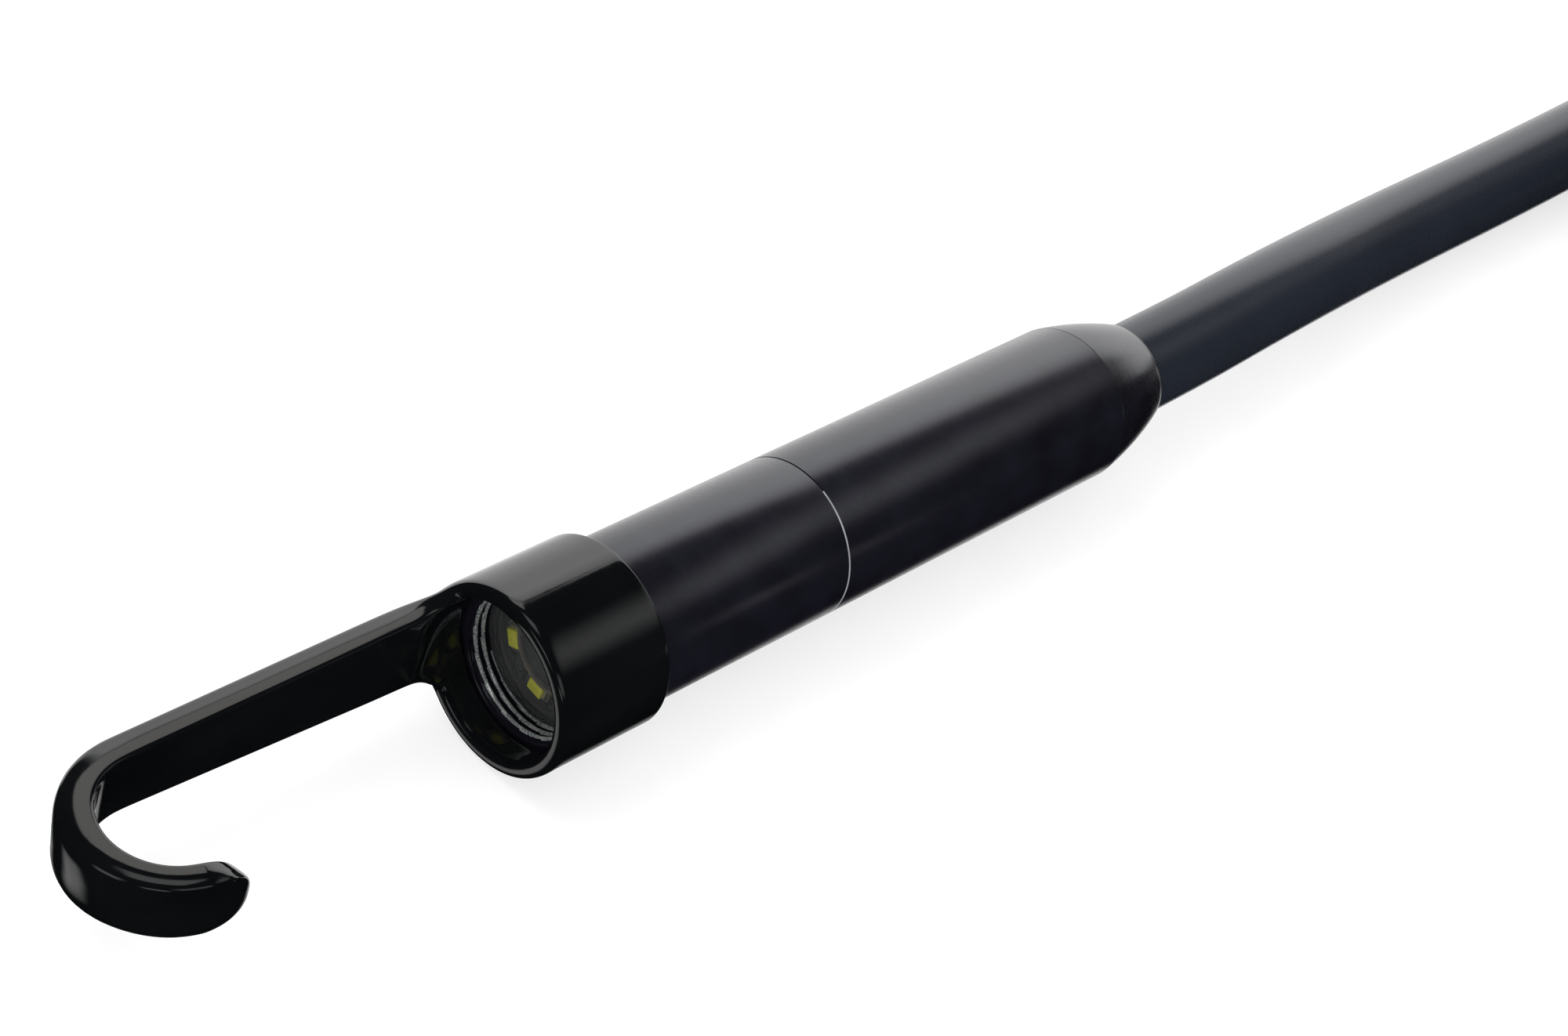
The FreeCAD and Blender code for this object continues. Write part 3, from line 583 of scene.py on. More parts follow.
def thread_at(x):
    """Radius of the nose thread at a depth, as a function of the angle; it runs out at the mouth."""
    def radius(angle):
        phase = (x / THREAD_PITCH - angle / TURN) % 1.0
        crest = min(max(1.5 * abs(2 * phase - 1) - 0.25, 0.0), 1.0)  # flat crests, flat roots
        shoulder = max(0.0, 1 - x / THREAD_LEAD_IN)
        bored = THREAD_MAJOR - (THREAD_MAJOR - THREAD_MINOR) * crest
        return bored + (THREAD_MOUTH - bored) * shoulder
    return radius


def blacken(mesh, stays_black):
    """Give faces of the second material the first one again where stays_black(centre in mm) says so."""
    for face in mesh.faces:
        if face.material_index == 1 and stays_black(face.calc_center_median() / MM):
            face.material_index = 0


def front_barrel():
    """Front tube with the nose thread cut in it; the thread's crests are worn bright."""
    neck_end = SEAM_X + SPIGOT_LENGTH
    outside = soften([
        (0.0, THREAD_MOUTH, 0.0), (0.0, BARREL_RADIUS, 0.08),
        (SEAM_X, BARREL_RADIUS, 0.05), (SEAM_X, SPIGOT_RADIUS, 0.0), (neck_end, SPIGOT_RADIUS, 0.0),
        (neck_end, TUBE_BORE, 0.0), (BORE_END, TUBE_BORE, 0.0), (BORE_END, BORE_RADIUS, 0.0),
        (WINDOW_X, BORE_RADIUS, 0.0),
    ])
    turns = [WINDOW_X * (1 - step / THREAD_DEPTHS) for step in range(THREAD_DEPTHS)]
    outline = outside + [(x, thread_at(x)) for x in turns]
    first_turn = len(outside) - 1

    def band(index):
        return 1 if index >= first_turn or index == 0 else 0

    mesh = bmesh.new()
    lathe(mesh, outline, segments=180, materials=band)
    blacken(mesh, lambda centre: math.hypot(centre.y, centre.z) > THREAD_WORN)
    place_piece("front_tube", mesh, "head", "front_barrel", [BLACK_ANODISED, THREAD_METAL])


def rear_barrel():
    """Rear tube; a light grey line is painted as a highlight on the chamfer of its front edge at the seam,
    away from the hook arm's side.
    """
    socket_end = SEAM_X + SOCKET_LENGTH
    outline = soften([
        (SEAM_X, SOCKET_RADIUS, 0.0), (SEAM_X, BARREL_RADIUS - SEAM_CHAMFER, 0.0),
        (SEAM_X + SEAM_CHAMFER, BARREL_RADIUS, 0.0), (CREASE_X, BARREL_RADIUS, 0.03),
        (CREASE_X, TUBE_BORE, 0.0), (socket_end, TUBE_BORE, 0.0), (socket_end, SOCKET_RADIUS, 0.0),
    ])
    mesh = bmesh.new()
    lathe(mesh, outline, materials=lambda index: 1 if index == 1 else 0)
    blacken(mesh, lambda centre: centre.y > SEAM_HIGHLIGHT_Y)
    place_piece("rear_tube", mesh, "head", "rear_barrel", [BLACK_ANODISED, SEAM_PAINTED_HIGHLIGHT])


def tail_cap():
    """Ogive cap that closes the barrel round the cable, with a small rolled lip."""
    start_x, start = CREASE_X + 0.04, BARREL_RADIUS - 0.01
    end_x, end = TAIL_X - 0.35, 3.14
    cable_hole = 2.77
    swell = 0.14  # of the cone's side, at its middle
    steps = 14
    curve = []
    for step in range(steps + 1):
        part = step / steps
        bulge = swell * (1 - (2 * part - 1) ** 2)
        curve.append((start_x + (end_x - start_x) * part, start + (end - start) * part + bulge))
    lip = soften([(end_x, end, 0.0), (TAIL_X, 2.86, 0.10), (TAIL_X - 0.5, cable_hole, 0.0)])
    edge = [(CREASE_X, 3.5), (CREASE_X, BARREL_RADIUS - 0.05)]
    turned("tail_cone", "tail_cap", CAP_ANODISED, edge + curve + lip[1:] + [(CREASE_X + 1.0, cable_hole)],
           sharp=24.0, slot="black_anodised")


# ---- lamps, lens and window

LAMP_COUNT = 6
LAMP_TURN = math.radians(-24)
LAMP_CIRCLE = 2.7
LAMP_SIZE = (0.80, 1.60)
PHOSPHOR_SIZE = (0.70, 1.0)
SMALL_EDGE = 0.03
SOLDER_LIFT = 0.03  # of the middle of a bead, in front of what it sits on
RESISTORS = ((2.62, (0.14, 0.30, 0.55)), (3.15, (0.10, 0.26, 0.42)))  # (circle, size) of each kind


def window_and_seal():
    """Clear disc in front of the lamps, and its rubber seal."""
    low, high = node_box("window")
    turned("window_disc", "window", WINDOW_GLASS,
           hoop(low.x, high.x, 0.0, high.z, (0.0, 0.06, 0.06, 0.0)), closed=False)
    low, high = node_box("window_seal")
    turned("window_gasket", "window_seal", SEAL_RUBBER,
           hoop(low.x, high.x, 3.45, high.z, (0.1, 0.05, 0.05, 0.1)))


def sideways(spot, angle, shift):
    """A (y, z) place moved along the tangent of its circle."""
    return spot[0] - shift * math.sin(angle), spot[1] + shift * math.cos(angle)


def lamp_board():
    """Ring board with its lamps' small parts: resistors between the lamps and beads of solder."""
    low, high = node_box("led_board")
    mesh = bmesh.new()
    lathe(mesh, hoop(low.x, high.x, 2.30, high.z, [0.03] * 4))
    for angle in round_trip(LAMP_COUNT, LAMP_TURN + TURN / 2 / LAMP_COUNT):
        for circle, size in RESISTORS:
            spot = around(AXIS, circle, angle)
            slab(mesh, (low.x - size[0] / 2, *spot), size, SMALL_EDGE, angle, 1)
            for side in (-1, 1):
                bead = sideways(spot, angle, side * size[2] * 0.62)
                slab(mesh, (low.x - SOLDER_LIFT, *bead), (0.07, size[1] * 0.9, 0.12), SMALL_EDGE, angle, 2)
    place_piece("lamp_board", mesh, "head", "led_board", [BOARD, CHIP_PLASTIC, SOLDER])


def lamps():
    """Each lamp is a ceramic tray with the phosphor set in it, just under the tray's rim."""
    low, high = node_box("led_bases")
    front = node_box("led_phosphors")[0].x
    tray = bmesh.new()
    filling = bmesh.new()
    for angle in round_trip(LAMP_COUNT, LAMP_TURN):
        spot = around(AXIS, LAMP_CIRCLE, angle)
        slab(tray, ((low.x + high.x) / 2, *spot), (high.x - low.x, *LAMP_SIZE), SMALL_EDGE, angle)
        slab(filling, ((front + low.x) / 2, *spot), (low.x - front, *PHOSPHOR_SIZE), 0.05, angle)
        for side in (-1, 1):
            pad = sideways(spot, angle, side * 0.70)
            slab(tray, (low.x - SOLDER_LIFT, *pad), (0.08, 0.7, 0.2), SMALL_EDGE, angle, 1)
    place_piece("lamp_trays", tray, "head", "led_bases", [LED_CERAMIC, SOLDER])
    place_piece("lamp_phosphors", filling, "head", "led_phosphors", [LED_PHOSPHOR])


def lens_parts():
    """Baffle ring, stepped lens barrel with anti-glare grooves, and the domed front lens."""
    low, high = node_box("light_baffle")
    turned("baffle_ring", "light_baffle", BAFFLE,
           hoop(low.x, high.x, 2.08, 2.28, (0.04, 0.05, 0.02, 0.02)))

    low, high = node_box("lens_barrel")
    groove_count, groove_pitch, groove_step = 7, 0.09, 0.066
    grooves = []
    for step in range(groove_count):
        x = low.x + 0.08 + step * groove_pitch
        reach = 1.78 - step * groove_step
        grooves += [(x, reach), (x + groove_pitch / 2, reach - 0.052)]
    outside = [(high.x, 1.5), (high.x, high.z), (low.x + 0.05, high.z), (low.x, high.z - 0.05), (low.x, 1.84)]
    turned("lens_tube", "lens_barrel", BLACK_PLASTIC,
           outside + grooves + [(2.75, 1.30), (3.6, 1.30), (3.7, 1.5)], sharp=20.0)

    low, high = node_box("front_lens")
    dome_depth, dome_radius, dome_steps = 0.22, 1.28, 8
    dome = []
    for step in range(dome_steps + 1):
        dome.append((low.x + dome_depth * (step / dome_steps) ** 2, dome_radius * step / dome_steps))
    turned("lens_front", "front_lens", LENS_GLASS, dome + [(high.x, dome_radius), (high.x, 0.0)],
           closed=False)


# ---- hook attachment

SLEEVE_FRONT = -1.9
SLEEVE_OUTER = 5.16
LIP_BORE = 4.2
HOOK_COLUMNS = 32
ARM_COLUMNS = 4  # of the columns above, on each side of the arm's middle
SIDE_STEPS = 4
ROOT_SECTIONS = ((0.28, 3.0), (0.75, 2.68), (1.35, 2.45), (2.2, 2.33))  # (distance along, half width)
ROOT_BLEND = 2.6  # length over which the arm turns from round to flat
ARM_PATH_Y = 4.3
ARM_INSIDE = -0.6  # of the arm's inner face from its path, counted outwards
ARM_SPLAY = 0.42  # how much nearer to the axis the arm starts than it ends
ARM_THICKNESS = 1.82
TIP_THICKNESS = 1.50
CURL_CENTRE = (-20.9, 0.35)
CURL_RADIUS = ARM_PATH_Y - CURL_CENTRE[1]
CURL_SWEEP = math.radians(201.5)
THINNING_START = 5.2  # of the curl, from where it begins
THINNING_LENGTH = 4.2
TIP_HALF_WIDTH = 1.85
ROOT_HALF_WIDTH = 2.36
TIP_LENGTH = 2.5
TIP_DROP = 0.6  # the rounded tip's end sits lower than the middle of the arm
TIP_RISE = 0.6  # share of the tip's lost thickness that is lost inside
# distance from the tip's end and share of the tip's thickness there
TIP_SECTIONS = ((2.2, 0.99), (1.65, 0.96), (1.15, 0.90), (0.7, 0.78), (0.34, 0.60), (0.08, 0.36))
# cage rows of the arm's section, as (share of the half width, share of the thickness below the face)
OUTER_ROW = ((1.0, 0.29), (0.90, 0.13), (0.66, 0.03), (0.3, 0.0))
INNER_ROW = ((1.0, 0.02), (0.9, 0.0), (0.6, 0.0), (0.3, 0.0))
ARM_LENGTH = SLEEVE_FRONT - CURL_CENTRE[0]
HOOK_LENGTH = ARM_LENGTH + CURL_RADIUS * CURL_SWEEP


def sleeve_outline():
    """Cage of the sleeve's section: outside from the front, round the back, then the bore to the front."""
    back = node_box("hook_attachment")[1].x
    return [
        (-1.62, SLEEVE_OUTER), (-1.1, SLEEVE_OUTER), (1.2, SLEEVE_OUTER), (3.4, SLEEVE_OUTER),
        (4.8, SLEEVE_OUTER), (back - 0.05, SLEEVE_OUTER), (back, SLEEVE_OUTER - 0.05),
        (back, 4.66), (back - 0.07, 4.56), (4.4, 4.53), (3.95, 4.53), (3.9, 4.58), (3.88, 4.92),
        (3.32, 4.92), (3.3, 4.58), (3.25, 4.53), (1.5, 4.53), (0.05, 4.53), (-0.05, 4.48), (-0.05, 4.28),
        (-0.11, LIP_BORE), (-0.6, LIP_BORE), (-1.2, LIP_BORE), (-1.60, LIP_BORE + 0.02),
        (-1.84, LIP_BORE + 0.20), (SLEEVE_FRONT, 4.62), (-1.88, 5.00),
    ]


def arm_section(half_width, inside, outside):
    """Cage of the arm's section as (z, offset outwards): crowned outer row, side, flat inner row, side."""
    thickness = outside - inside
    edge = 0.04 * half_width
    outer = [(part * half_width, outside - drop * thickness) for part, drop in OUTER_ROW]
    inner = [(part * half_width, inside + drop * thickness) for part, drop in INNER_ROW]
    for row in (outer, inner):
        row[0] = (half_width - edge, row[0][1])
    side = [(half_width, outside - drop * thickness) for drop in (0.52, 0.72, 0.93)]
    outer_side = [(-z, offset) for z, offset in outer] + [(0.0, outside)] + outer[::-1]
    inner_side = inner + [(0.0, inside)] + [(-z, offset) for z, offset in inner[::-1]]
    return outer_side + side + inner_side + [(-z, offset) for z, offset in side[::-1]]


def arm_point(along, z, offset):
    """A point of the arm at a distance from the sleeve's face along the arm's path."""
    if along <= ARM_LENGTH:
        return SLEEVE_FRONT - along, ARM_PATH_Y - ARM_SPLAY * (1 - along / ARM_LENGTH) + offset, z
    angle = TURN / 4 + (along - ARM_LENGTH) / CURL_RADIUS
    return (*around(CURL_CENTRE, CURL_RADIUS + offset, angle), z)


def arm_stations():
    """(distance along, half width, thickness) of each section of the arm, from root to rounded tip."""
    stations = [(along, half_width, ARM_THICKNESS) for along, half_width in ROOT_SECTIONS]
    arm_start, arm_end, arm_steps = ROOT_SECTIONS[-1][0], ARM_LENGTH - 0.6, 9
    for step in range(1, arm_steps + 1):
        part = step / arm_steps
        half_width = ROOT_HALF_WIDTH + (TIP_HALF_WIDTH - ROOT_HALF_WIDTH) * part
        stations.append((arm_start + (arm_end - arm_start) * part, half_width, ARM_THICKNESS))
    curl_start, curl_end, curl_steps = ARM_LENGTH + 0.1, HOOK_LENGTH - TIP_LENGTH, 15
    for step in range(curl_steps + 1):
        along = curl_start + (curl_end - curl_start) * step / curl_steps
        thinned = ease((along - ARM_LENGTH - THINNING_START) / THINNING_LENGTH)
        stations.append((along, TIP_HALF_WIDTH, ARM_THICKNESS + (TIP_THICKNESS - ARM_THICKNESS) * thinned))
    for short, thin in TIP_SECTIONS:
        half_width = TIP_HALF_WIDTH * math.sqrt(1 - (1 - short / TIP_LENGTH) ** 2)
        stations.append((HOOK_LENGTH - short, half_width, TIP_THICKNESS * thin))
    return stations


def round_root(along, z, offset):
    """Near the sleeve the arm is curved like the sleeve's own wall; it turns flat over a short way."""
    flat = arm_point(along, z, offset)[1]
    share = (offset - ARM_INSIDE) / ARM_THICKNESS
    curved = math.sqrt((LIP_BORE + (SLEEVE_OUTER - LIP_BORE) * share) ** 2 - z * z)
    return curved + (flat - curved) * ease(along / ROOT_BLEND)


def sleeve(mesh, first_open):
    """Cage of the sleeve, open under the arm from that row of its outline on; returns its columns."""
    outline = sleeve_outline()
    swell = 1 / (2 / 3 + math.cos(TURN / HOOK_COLUMNS) / 3)  # the smoothed surface lies inside its cage
    columns = []
    for column in range(HOOK_COLUMNS):
        angle = TURN * (column - ARM_COLUMNS) / HOOK_COLUMNS
        under_arm = 0 < column < 2 * ARM_COLUMNS
        points = []
        for index, (x, radius) in enumerate(outline):
            if under_arm and index > first_open:
                points.append(None)
                continue
            points.append(mesh.verts.new(mm(x, *around(AXIS, radius * swell, angle))))
        columns.append(points)
    for column in range(HOOK_COLUMNS):
        here, after = columns[column], columns[(column + 1) % HOOK_COLUMNS]
        for index in range(len(outline)):
            if column < 2 * ARM_COLUMNS and index >= first_open:
                continue
            following = (index + 1) % len(outline)
            mesh.faces.new((here[index], after[index], after[following], here[following]))
    return columns


def arm_loop(mesh, along, half_width, thickness):
    """The points of one section of the arm."""
    inside = ARM_INSIDE
    if along > HOOK_LENGTH - TIP_LENGTH:
        inside += TIP_RISE * (TIP_THICKNESS - thickness)
    drop = TIP_DROP * max(0.0, 1 - half_width / TIP_HALF_WIDTH)
    loop = []
    for z, offset in arm_section(half_width, inside, inside + thickness):
        x, y, z = arm_point(along, z - drop, offset)
        if along < ROOT_BLEND:
            y = round_root(along, z, offset)
        loop.append(mesh.verts.new(mm(x, y, z)))
    return loop


def hook():
    """One closed cage: the sleeve with a gap in its front face, from which the arm is carried on."""
    mesh = bmesh.new()
    first_open = len(sleeve_outline()) - SIDE_STEPS
    arm = sleeve(mesh, first_open)[:2 * ARM_COLUMNS + 1]
    last = [points[0] for points in arm]
    last += [arm[-1][index] for index in (-1, -2, -3)]
    last += [points[first_open] for points in reversed(arm)]
    last += [arm[0][index] for index in (-3, -2, -1)]
    for station in arm_stations():
        loop = arm_loop(mesh, *station)
        bridge(mesh, last, loop)
        last = loop
    close_tip(mesh, last)
    piece = place_piece("hook", mesh, "hook", "hook_attachment", [HOOK_PLASTIC], sharp=180.0)
    smooth = piece.modifiers.new("smooth", "SUBSURF")
    smooth.levels = 2
    smooth.render_levels = 3


def close_tip(mesh, loop):
    """Fill the last section of the arm with a grid of faces, slightly domed."""
    row = 2 * ARM_COLUMNS + 1
    side = loop[row:row + SIDE_STEPS - 1]
    inner = loop[row + SIDE_STEPS - 1:2 * row + SIDE_STEPS - 1]
    other = loop[2 * row + SIDE_STEPS - 1:]
    far = list(reversed(inner))
    dome = 0.07
    ahead = Vector(arm_point(HOOK_LENGTH, 0, 0)) - Vector(arm_point(HOOK_LENGTH - dome, 0, 0))
    grid = [loop[:row]]
    for step in range(1, SIDE_STEPS):
        middle = []
        for index in range(1, row - 1):
            spot = grid[0][index].co.lerp(far[index].co, step / SIDE_STEPS)
            middle.append(mesh.verts.new(spot + ahead * MM))
        grid.append([other[SIDE_STEPS - 1 - step]] + middle + [side[step - 1]])
    weave(mesh, grid + [far])


def grip_ring():
    """Round rubber ring in the sleeve's groove; it slides with the sleeve."""
    low, high = node_box("grip_ring")
    wire = (high.x - low.x) / 2
    turned("grip_o_ring", "grip_ring", SEAL_RUBBER,
           round_wire((low.x + high.x) / 2, high.z - wire, wire, 20), body="grip")


# ---- plug and tie

PLUG_TAIL = node_box("plug_boot")[1].x
PLUG_LOW, PLUG_HIGH = node_box("plug_body")
PLUG_CENTRE = ((PLUG_LOW.y + PLUG_HIGH.y) / 2, (PLUG_LOW.z + PLUG_HIGH.z) / 2)


def from_tail(corners):
    """Corners or points of a plug piece, each starting with its distance from the plug's tail."""
    return [(PLUG_TAIL - along, *rest) for along, *rest in corners]


def plug_boot():
    """Tapered strain relief with five grooves."""
    corners = [(0.0, 2.8, 0.0), (0.0, 3.7, 0.5)]
    groove_pitch, groove_depth, taper = 2.3, 0.55, 0.085
    for step in range(5):
        start = 2.0 + groove_pitch * step
        radius = 3.75 + taper * start
        corners += [(start, radius, 0.15), (start + 0.15, radius - groove_depth, 0.2),
                    (start + 0.85, radius - groove_depth, 0.2), (start + 1.0, radius + 0.08, 0.15)]
    corners += [(14.0, 4.9, 0.2), (14.0, 5.5, 0.15), (15.9, 5.5, 0.1), (15.9, 2.8, 0.0)]
    turned("plug_relief", "plug_boot", BOOT_RUBBER, soften(from_tail(corners), 3), centre=PLUG_CENTRE)


def ribbed(radius, ribs, depth):
    """Radius of a straight-ribbed grip."""
    def reach(angle):
        return radius - depth * (0.5 + 0.5 * math.cos(ribs * angle)) ** 2
    return reach


def plug_clamp():
    """Clamp nut with a straight-ribbed grip."""
    grip = ribbed(6.8, 30, 0.22)
    outline = [(12.0, 5.1), (12.0, 5.9), (12.35, 6.4), (12.9, 6.5), (13.1, grip), (19.4, grip), (19.6, 6.4),
               (20.0, 6.3), (20.2, 6.75), (21.6, 6.75), (21.95, 6.4), (21.95, 6.05), (16.2, 6.05),
               (16.2, 5.6), (14.1, 5.6), (14.1, 5.1)]
    turned("plug_clamp_nut", "plug_clamp", BLACK_ANODISED, from_tail(outline), centre=PLUG_CENTRE,
           segments=FINE_SEGMENTS)


def plug_shell():
    """Fixed shell of the plug."""
    corners = [
        (16.3, 4.6, 0.1), (16.3, 5.9, 0.2), (22.2, 5.9, 0.1), (22.2, 6.6, 0.25), (23.4, 6.6, 0.1),
        (23.6, 6.35, 0.1), (23.9, 6.6, 0.1), (25.2, 6.6, 0.25), (25.2, 5.6, 0.1), (37.0, 5.6, 0.2),
        (37.0, 5.2, 0.0), (37.7, 5.2, 0.1), (37.7, 4.9, 0.05), (40.0, 4.9, 0.2), (40.0, 4.5, 0.15),
    ]
    turned("plug_shell", "plug_body", NICKEL, soften(from_tail(corners), 3), centre=PLUG_CENTRE)


def coupling_nut():
    """Turning nut with a diamond knurl between two plain bands and ridges inside."""
    start, end = 25.5, 36.5
    teeth, slant, knurl_root, knurl_depth = 24, 0.9, 7.18, 0.30

    def knurl(along):
        def reach(angle):
            slide = (along - start) * slant
            cut = abs(math.sin(teeth * angle / 2 + slide)) * abs(math.sin(teeth * angle / 2 - slide))
            return knurl_root + knurl_depth * min(cut * 1.6, 1.0)
        return reach

    outline = [(start, 5.7), (start, 6.9), (start + 0.3, 7.3), (start + 1.2, 7.3), (start + 1.4, 7.1)]
    rows = 46
    for row in range(rows + 1):
        along = start + 1.5 + (end - start - 3.0) * row / rows
        outline.append((along, knurl(along)))
    outline += [(end - 1.4, 7.1), (end - 1.2, 7.3), (end - 0.3, 7.3), (end, 7.0), (end, 6.5),
                (end - 0.25, 6.35)]
    half_turns, half_pitch, thread_bore, thread_depth = 24, 0.24, 6.02, 0.26
    for step in range(half_turns):
        outline.append((end - 0.5 - step * half_pitch, thread_bore + thread_depth * (step % 2)))
    outline += [(start + 4.4, 6.3), (start + 4.4, 5.7)]
    turned("plug_coupling_nut", "coupling_nut", NICKEL, from_tail(outline), body="nut", centre=PLUG_CENTRE,
           segments=FINE_SEGMENTS, sharp=40.0)


def plug_inside():
    """The round-nosed contact pins and the face seal; the insert stays as CAD made it."""
    pin_count, pin_circle, pin_radius, pin_start, pin_end, nose_steps = 4, 2.5, 0.5, 24.0, 39.5, 5
    outline = [(pin_start, 0.0), (pin_start, 0.42), (pin_start + 0.1, pin_radius)]
    for step in range(nose_steps):
        outline.append(around((pin_end - pin_radius, 0.0), pin_radius, TURN / 4 * (1 - step / nose_steps)))
    outline.append((pin_end, 0.0))
    pins = bmesh.new()
    for angle in round_trip(pin_count, TURN / 2 / pin_count):
        lathe(pins, from_tail(outline), around(PLUG_CENTRE, pin_circle, angle), 24, closed=False)
    place_piece("plug_contacts", pins, "head", "plug_pins", [GOLD_PINS])
    turned("plug_o_ring", "plug_seal", SEAL_RUBBER, round_wire(PLUG_TAIL - 37.3, 5.5, 0.3, 16),
           centre=PLUG_CENTRE)


def coil_tie():
    """Hook-and-loop strap round the coil's section, its end lapped over the top."""
    low, high = node_box("coil_tie")
    middle = (low + high) / 2
    reach = ((high.x - low.x) / 2 - TIE_THICKNESS / 2, (high.z - low.z) / 2 - TIE_THICKNESS / 2)
    steps, rows = 72, 14
    lap, climb = 16, 6  # steps that the end laps over the start, and steps it takes to get on top of it
    lap_place = 0.16
    squareness = 2 / 5  # 1 would make the strap's path an ellipse, 0 a square
    margin = 0.15
    mesh = bmesh.new()
    grid = []
    for step in range(steps + lap + 1):
        angle = TURN * (step / steps + lap_place)
        over = TIE_THICKNESS * 0.95 * min(1.0, max(0.0, step - steps + climb) / climb)
        path = [math.copysign(abs(part) ** squareness, part) for part in (math.cos(angle), math.sin(angle))]
        across, upward = path[0] * (reach[0] + over), path[1] * (reach[1] + over)
        line = []
        for row in range(rows + 1):
            width = low.y + margin + (high.y - low.y - 2 * margin) * row / rows
            line.append(mesh.verts.new(mm(middle.x + across, width, middle.z + upward)))
        grid.append(line)
    weave(mesh, grid)
    piece = place_piece("cable_tie", mesh, "head", "coil_tie", [TIE_FABRIC], sharp=60.0)
    thick = piece.modifiers.new("thickness", "SOLIDIFY")
    thick.thickness = TIE_THICKNESS * 0.9 * MM
    thick.offset = 0.0
    rounded = piece.modifiers.new("edges", "BEVEL")
    rounded.width = 0.12 * MM
    rounded.segments = 2


# ---- make everything

HOOK_PLASTIC = moulded_black("hook_plastic", (0.0045, 0.0052, 0.0058), 0.075, 0.03)
BLACK_ANODISED = turned_black("black_anodised", 0.21, (0.0050, 0.0050, 0.0085))
CAP_ANODISED = turned_black("cap_anodised", 0.23, (0.0045, 0.0045, 0.0070))
THREAD_METAL = thread_metal()
# painted highlight: a light grey, non-metallic colour for the line along the seam's chamfer
SEAM_PAINTED_HIGHLIGHT = plain_plastic("seam_painted_highlight", (0.50, 0.52, 0.54), 0.35)
NICKEL = bright_metal("nickel", (0.62, 0.60, 0.56), 0.26)
SOLDER = bright_metal("solder", (0.60, 0.60, 0.58), 0.30, (1.0, 1.0, 1.0))
SPRING_STEEL = bright_metal("spring_steel", (0.50, 0.50, 0.52), 0.24)
GOLD_PINS = bright_metal("gold_pins", (0.83, 0.62, 0.25), 0.18)
SEAL_RUBBER = rubber("seal_rubber", (0.010, 0.010, 0.011), 0.55)
BOOT_RUBBER = rubber("boot_rubber", (0.012, 0.012, 0.014), 0.50, 0.2)
CABLE_JACKET = jacket()
BOARD = circuit_board()
LED_PHOSPHOR = phosphor()
LED_CERAMIC = plain_plastic("led_ceramic", (0.42, 0.40, 0.26), 0.45, 0.06)
BAFFLE = plain_plastic("baffle", (0.10, 0.085, 0.065), 0.45)
BLACK_PLASTIC = plain_plastic("black_plastic", (0.006, 0.006, 0.006), 0.40)
INSERT_PLASTIC = plain_plastic("insert_plastic", (0.03, 0.03, 0.034), 0.42)
CHIP_PLASTIC = plain_plastic("chip_plastic", (0.018, 0.018, 0.018), 0.45, 0.05)
SPACER_PLASTIC = plain_plastic("spacer", (0.035, 0.035, 0.035), 0.5)
WIRE_JACKET = plain_plastic("wire_jacket", (0.42, 0.03, 0.02), 0.35)
POLYIMIDE = plain_plastic("polyimide", (0.45, 0.20, 0.03), 0.30)
SENSOR = plain_plastic("sensor", (0.05, 0.07, 0.09), 0.12, 0.05, 0.001)
WINDOW_GLASS = glass("window_glass", (0.90, 0.95, 0.93), 0.035, 0.03)
LENS_GLASS = glass("lens_glass", (0.05, 0.06, 0.12), 0.55, 0.03)
FILTER_GLASS = glass("filter_glass", (0.35, 0.60, 0.55), 0.5, 0.04)
TIE_FABRIC = woven_tie()

NODES_OF_LOOKS = [
    (HOOK_PLASTIC, ["hook_attachment"]),
    (SEAL_RUBBER, ["grip_ring", "barrel_seal", "gland_seal", "window_seal", "plug_seal"]),
    (BLACK_ANODISED, ["front_barrel", "rear_barrel", "tail_cap", "plug_clamp"]),
    (NICKEL, ["cable_ferrule", "stack_retainer", "plug_body", "coupling_nut"]),
    (WINDOW_GLASS, ["window"]),
    (BOARD, ["led_board", "sensor_board", "processor_board"]),
    (BAFFLE, ["light_baffle"]),
    (LED_CERAMIC, ["led_bases"]),
    (LED_PHOSPHOR, ["led_phosphors"]),
    (BLACK_PLASTIC, ["lens_barrel", "aperture_stop", "lens_mount"]),
    (LENS_GLASS, ["front_lens", "rear_lens"]),
    (FILTER_GLASS, ["ir_filter"]),
    (SENSOR, ["image_sensor"]),
    (SPACER_PLASTIC, ["stack_spacer"]),
    (WIRE_JACKET, ["led_wires", "cable_cores"]),
    (CHIP_PLASTIC, ["board_chips"]),
    (POLYIMIDE, ["flex_link", "board_sleeve"]),
    (CABLE_JACKET, ["cable_run", "cable_coil", "cable_lead"]),
    (TIE_FABRIC, ["coil_tie"]),
    (BOOT_RUBBER, ["plug_boot"]),
    (SPRING_STEEL, ["nut_clip"]),
    (INSERT_PLASTIC, ["plug_insert"]),
    (GOLD_PINS, ["plug_pins"]),
]


def dress_nodes():
    """Give each CAD node its look by its material slots; its mesh is left alone."""
    looks = {name: look for look, names in NODES_OF_LOOKS for name in names}
    for name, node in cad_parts.items():
        look = looks[name]
        if not node.data.materials:
            node.data.materials.append(look)
        for index in range(len(node.data.materials)):
            node.data.materials[index] = look


dress_nodes()
cable.data.materials.append(CABLE_JACKET)
for make in (hook, grip_ring, front_barrel, rear_barrel, tail_cap, window_and_seal, lamp_board, lamps,
             lens_parts, plug_boot, plug_clamp, plug_shell, coupling_nut, plug_inside, coil_tie):
    make()

# ---- floor, light and surroundings

STUDIO_MIDDLE = mm(20, 0, 0)
FLOOR_SIZE = 6.0
WHITE = (1.0, 1.0, 1.0)


def direction(azimuth, elevation, distance):
    """A place round the object; azimuth 0 is along +X and 90 along +Y."""
    turn, rise = math.radians(azimuth), math.radians(elevation)
    flat = math.cos(rise)
    return STUDIO_MIDDLE + distance * Vector((flat * math.cos(turn), flat * math.sin(turn), math.sin(rise)))


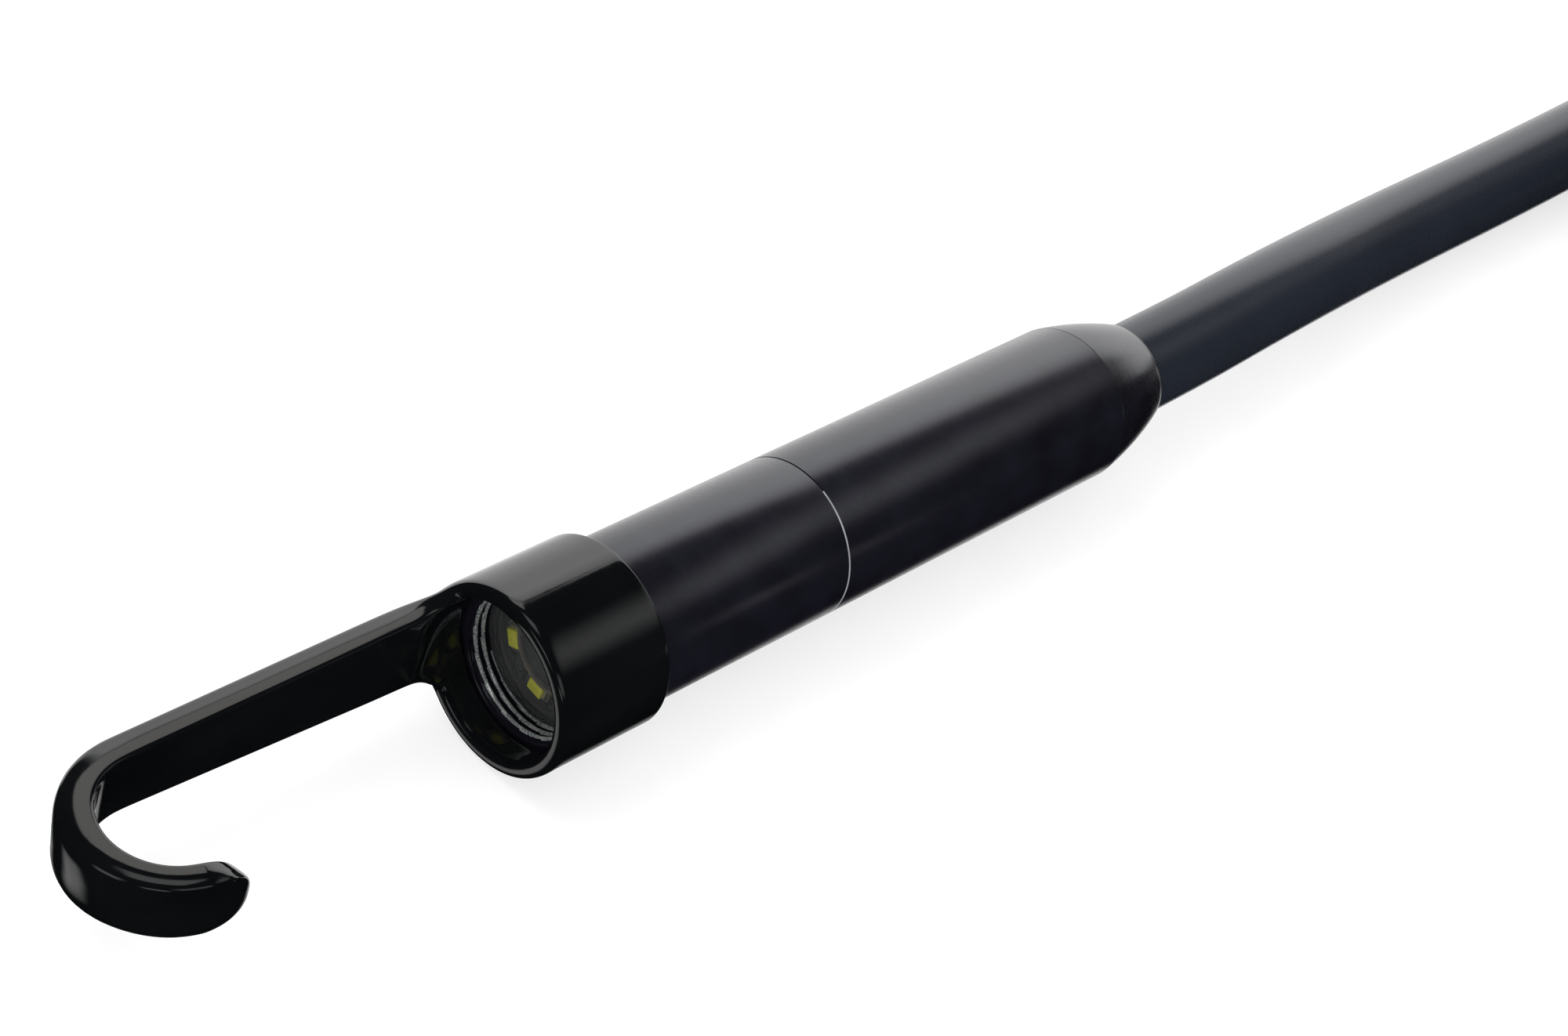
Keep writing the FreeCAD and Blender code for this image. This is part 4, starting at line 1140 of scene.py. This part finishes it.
def facing(place):
    """Matrix of something at a place that looks at the middle of the object."""
    aim = Vector(place) - STUDIO_MIDDLE
    return Matrix.Translation(place) @ aim.to_track_quat("Z", "Y").to_matrix().to_4x4()


def soft_light(name, place, size, power):
    """A square soft light that gloss doesn't see."""
    data = bpy.data.lights.new(name, "AREA")
    data.size = size
    data.energy = power
    lamp = add_object(name, data)
    lamp.matrix_world = facing(place)
    lamp.visible_glossy = False
    lamp.visible_camera = False


def floor_and_world():
    """Pale paper floor under an even pale sky. Gloss sees the reflector cards instead of either."""
    bpy.ops.mesh.primitive_plane_add(size=FLOOR_SIZE, location=mm(20, 0, FLOOR_Z))
    floor = bpy.context.object
    floor.name = "floor"
    paper = Finish("paper", {"Roughness": 0.9, "Specular IOR Level": 0.1,
                             "Emission Color": colour(*WHITE), "Emission Strength": 0.72})
    paper.paint(paper.noise(4.0, 4.0), (0.3, (0.36, 0.36, 0.36)), (0.7, (0.38, 0.38, 0.38)))
    floor.data.materials.append(paper.material)
    floor.visible_glossy = False

    world = bpy.data.worlds.new("studio")
    world.use_nodes = True
    sky = world.node_tree.nodes["Background"]
    sky.inputs["Color"].default_value = colour(*WHITE)
    sky.inputs["Strength"].default_value = 1.0
    world.cycles_visibility.glossy = False
    scene.world = world


def card(name, place, size, level, fade, roll=0.0, profile=None, tint=WHITE):
    """A glowing card with soft edges that looks at the object and only shows in glossy surfaces.

    fade is the width of the soft edge across and up the card, as a share of its size, and
    profile is the brightness from its lower edge to its upper one, as (place, share) stops.
    """
    bpy.ops.mesh.primitive_plane_add(size=1.0)
    panel = bpy.context.object
    panel.name = name
    rolled = Matrix.Rotation(math.radians(roll), 4, "Z")
    panel.matrix_world = facing(place) @ rolled @ Matrix.Diagonal((*size, 1.0, 1.0))
    glow = Finish(name, {"Base Color": colour(0, 0, 0), "Specular IOR Level": 0.0, "Roughness": 1.0,
                         "Emission Color": colour(*tint)})
    spots = glow.tree.nodes["Texture Coordinate"].outputs["Generated"]
    split = glow.add("SeparateXYZ", Vector=spots)
    strength = level
    for axis, width in zip("XY", fade):
        off_centre = glow.combine("ABSOLUTE", glow.combine("SUBTRACT", split.outputs[axis], 0.5), 0.0)
        edge = glow.add("MapRange", Value=off_centre, interpolation_type="SMOOTHSTEP")
        for index, value in enumerate((0.5 - width, 0.5, 1.0, 0.0), start=1):
            edge.inputs[index].default_value = value
        strength = glow.combine("MULTIPLY", edge.outputs[0], strength)
    if profile:
        shares = [(spot, (share, share, share)) for spot, share in profile]
        strength = glow.combine("MULTIPLY", glow.blend_colours(split.outputs["Y"], shares), strength)
    glow.feed("Emission Strength", strength)
    panel.data.materials.append(glow.material)
    for ray in ("camera", "diffuse", "transmission", "volume_scatter", "shadow"):
        setattr(panel, "visible_" + ray, False)


def reflector_cards():
    """What gloss sees round the object, from the tall one behind it to the small ones that give edges."""
    card("backdrop", direction(38, -3, 1.0), (1.85, 1.99), 2.2, (0.06, 0.025), 31.0,
         [(0.0, 0.5), (0.35, 0.55), (0.62, 0.75), (0.8, 1.0), (0.93, 0.8), (1.0, 0.7)])
    card("under_backdrop", mm(850, 910, -800), (1.9, 2.2), 1.0, (0.1, 0.40))
    card("side_glow", direction(-30, 39, 1.0), (1.2, 0.6), 0.85, (0.5, 0.5))
    card("overhead", direction(40, 86, 1.0), (0.5, 0.5), 1.2, (0.2, 0.2))
    card("near_side", direction(-100, 24, 1.0), (0.8, 0.5), 0.8, (0.3, 0.3))
    card("front", direction(186, 18, 1.0), (0.6, 0.5), 1.3, (0.3, 0.3))
    card("front_low", direction(143, -43, 1.2), (0.7, 0.6), 1.0, (0.35, 0.35))
    card("upper_left", direction(53, 51, 1.0), (0.40, 0.24), 1.75, (0.2, 0.12), tint=(1.0, 0.98, 0.95))
    card("under_right", direction(66, -53, 1.0), (0.5, 0.34), 5.0, (0.2, 0.2))
    card("behind", direction(226, 6, 1.0), (0.5, 0.16), 1.6, (0.3, 0.2))


floor_and_world()
reflector_cards()
soft_light("key", direction(120, 62, 0.9), 0.5, 2.0)
scene.view_settings.view_transform = "Standard"
scene.view_settings.look = "None"

bpy.context.evaluated_depsgraph_get().update()
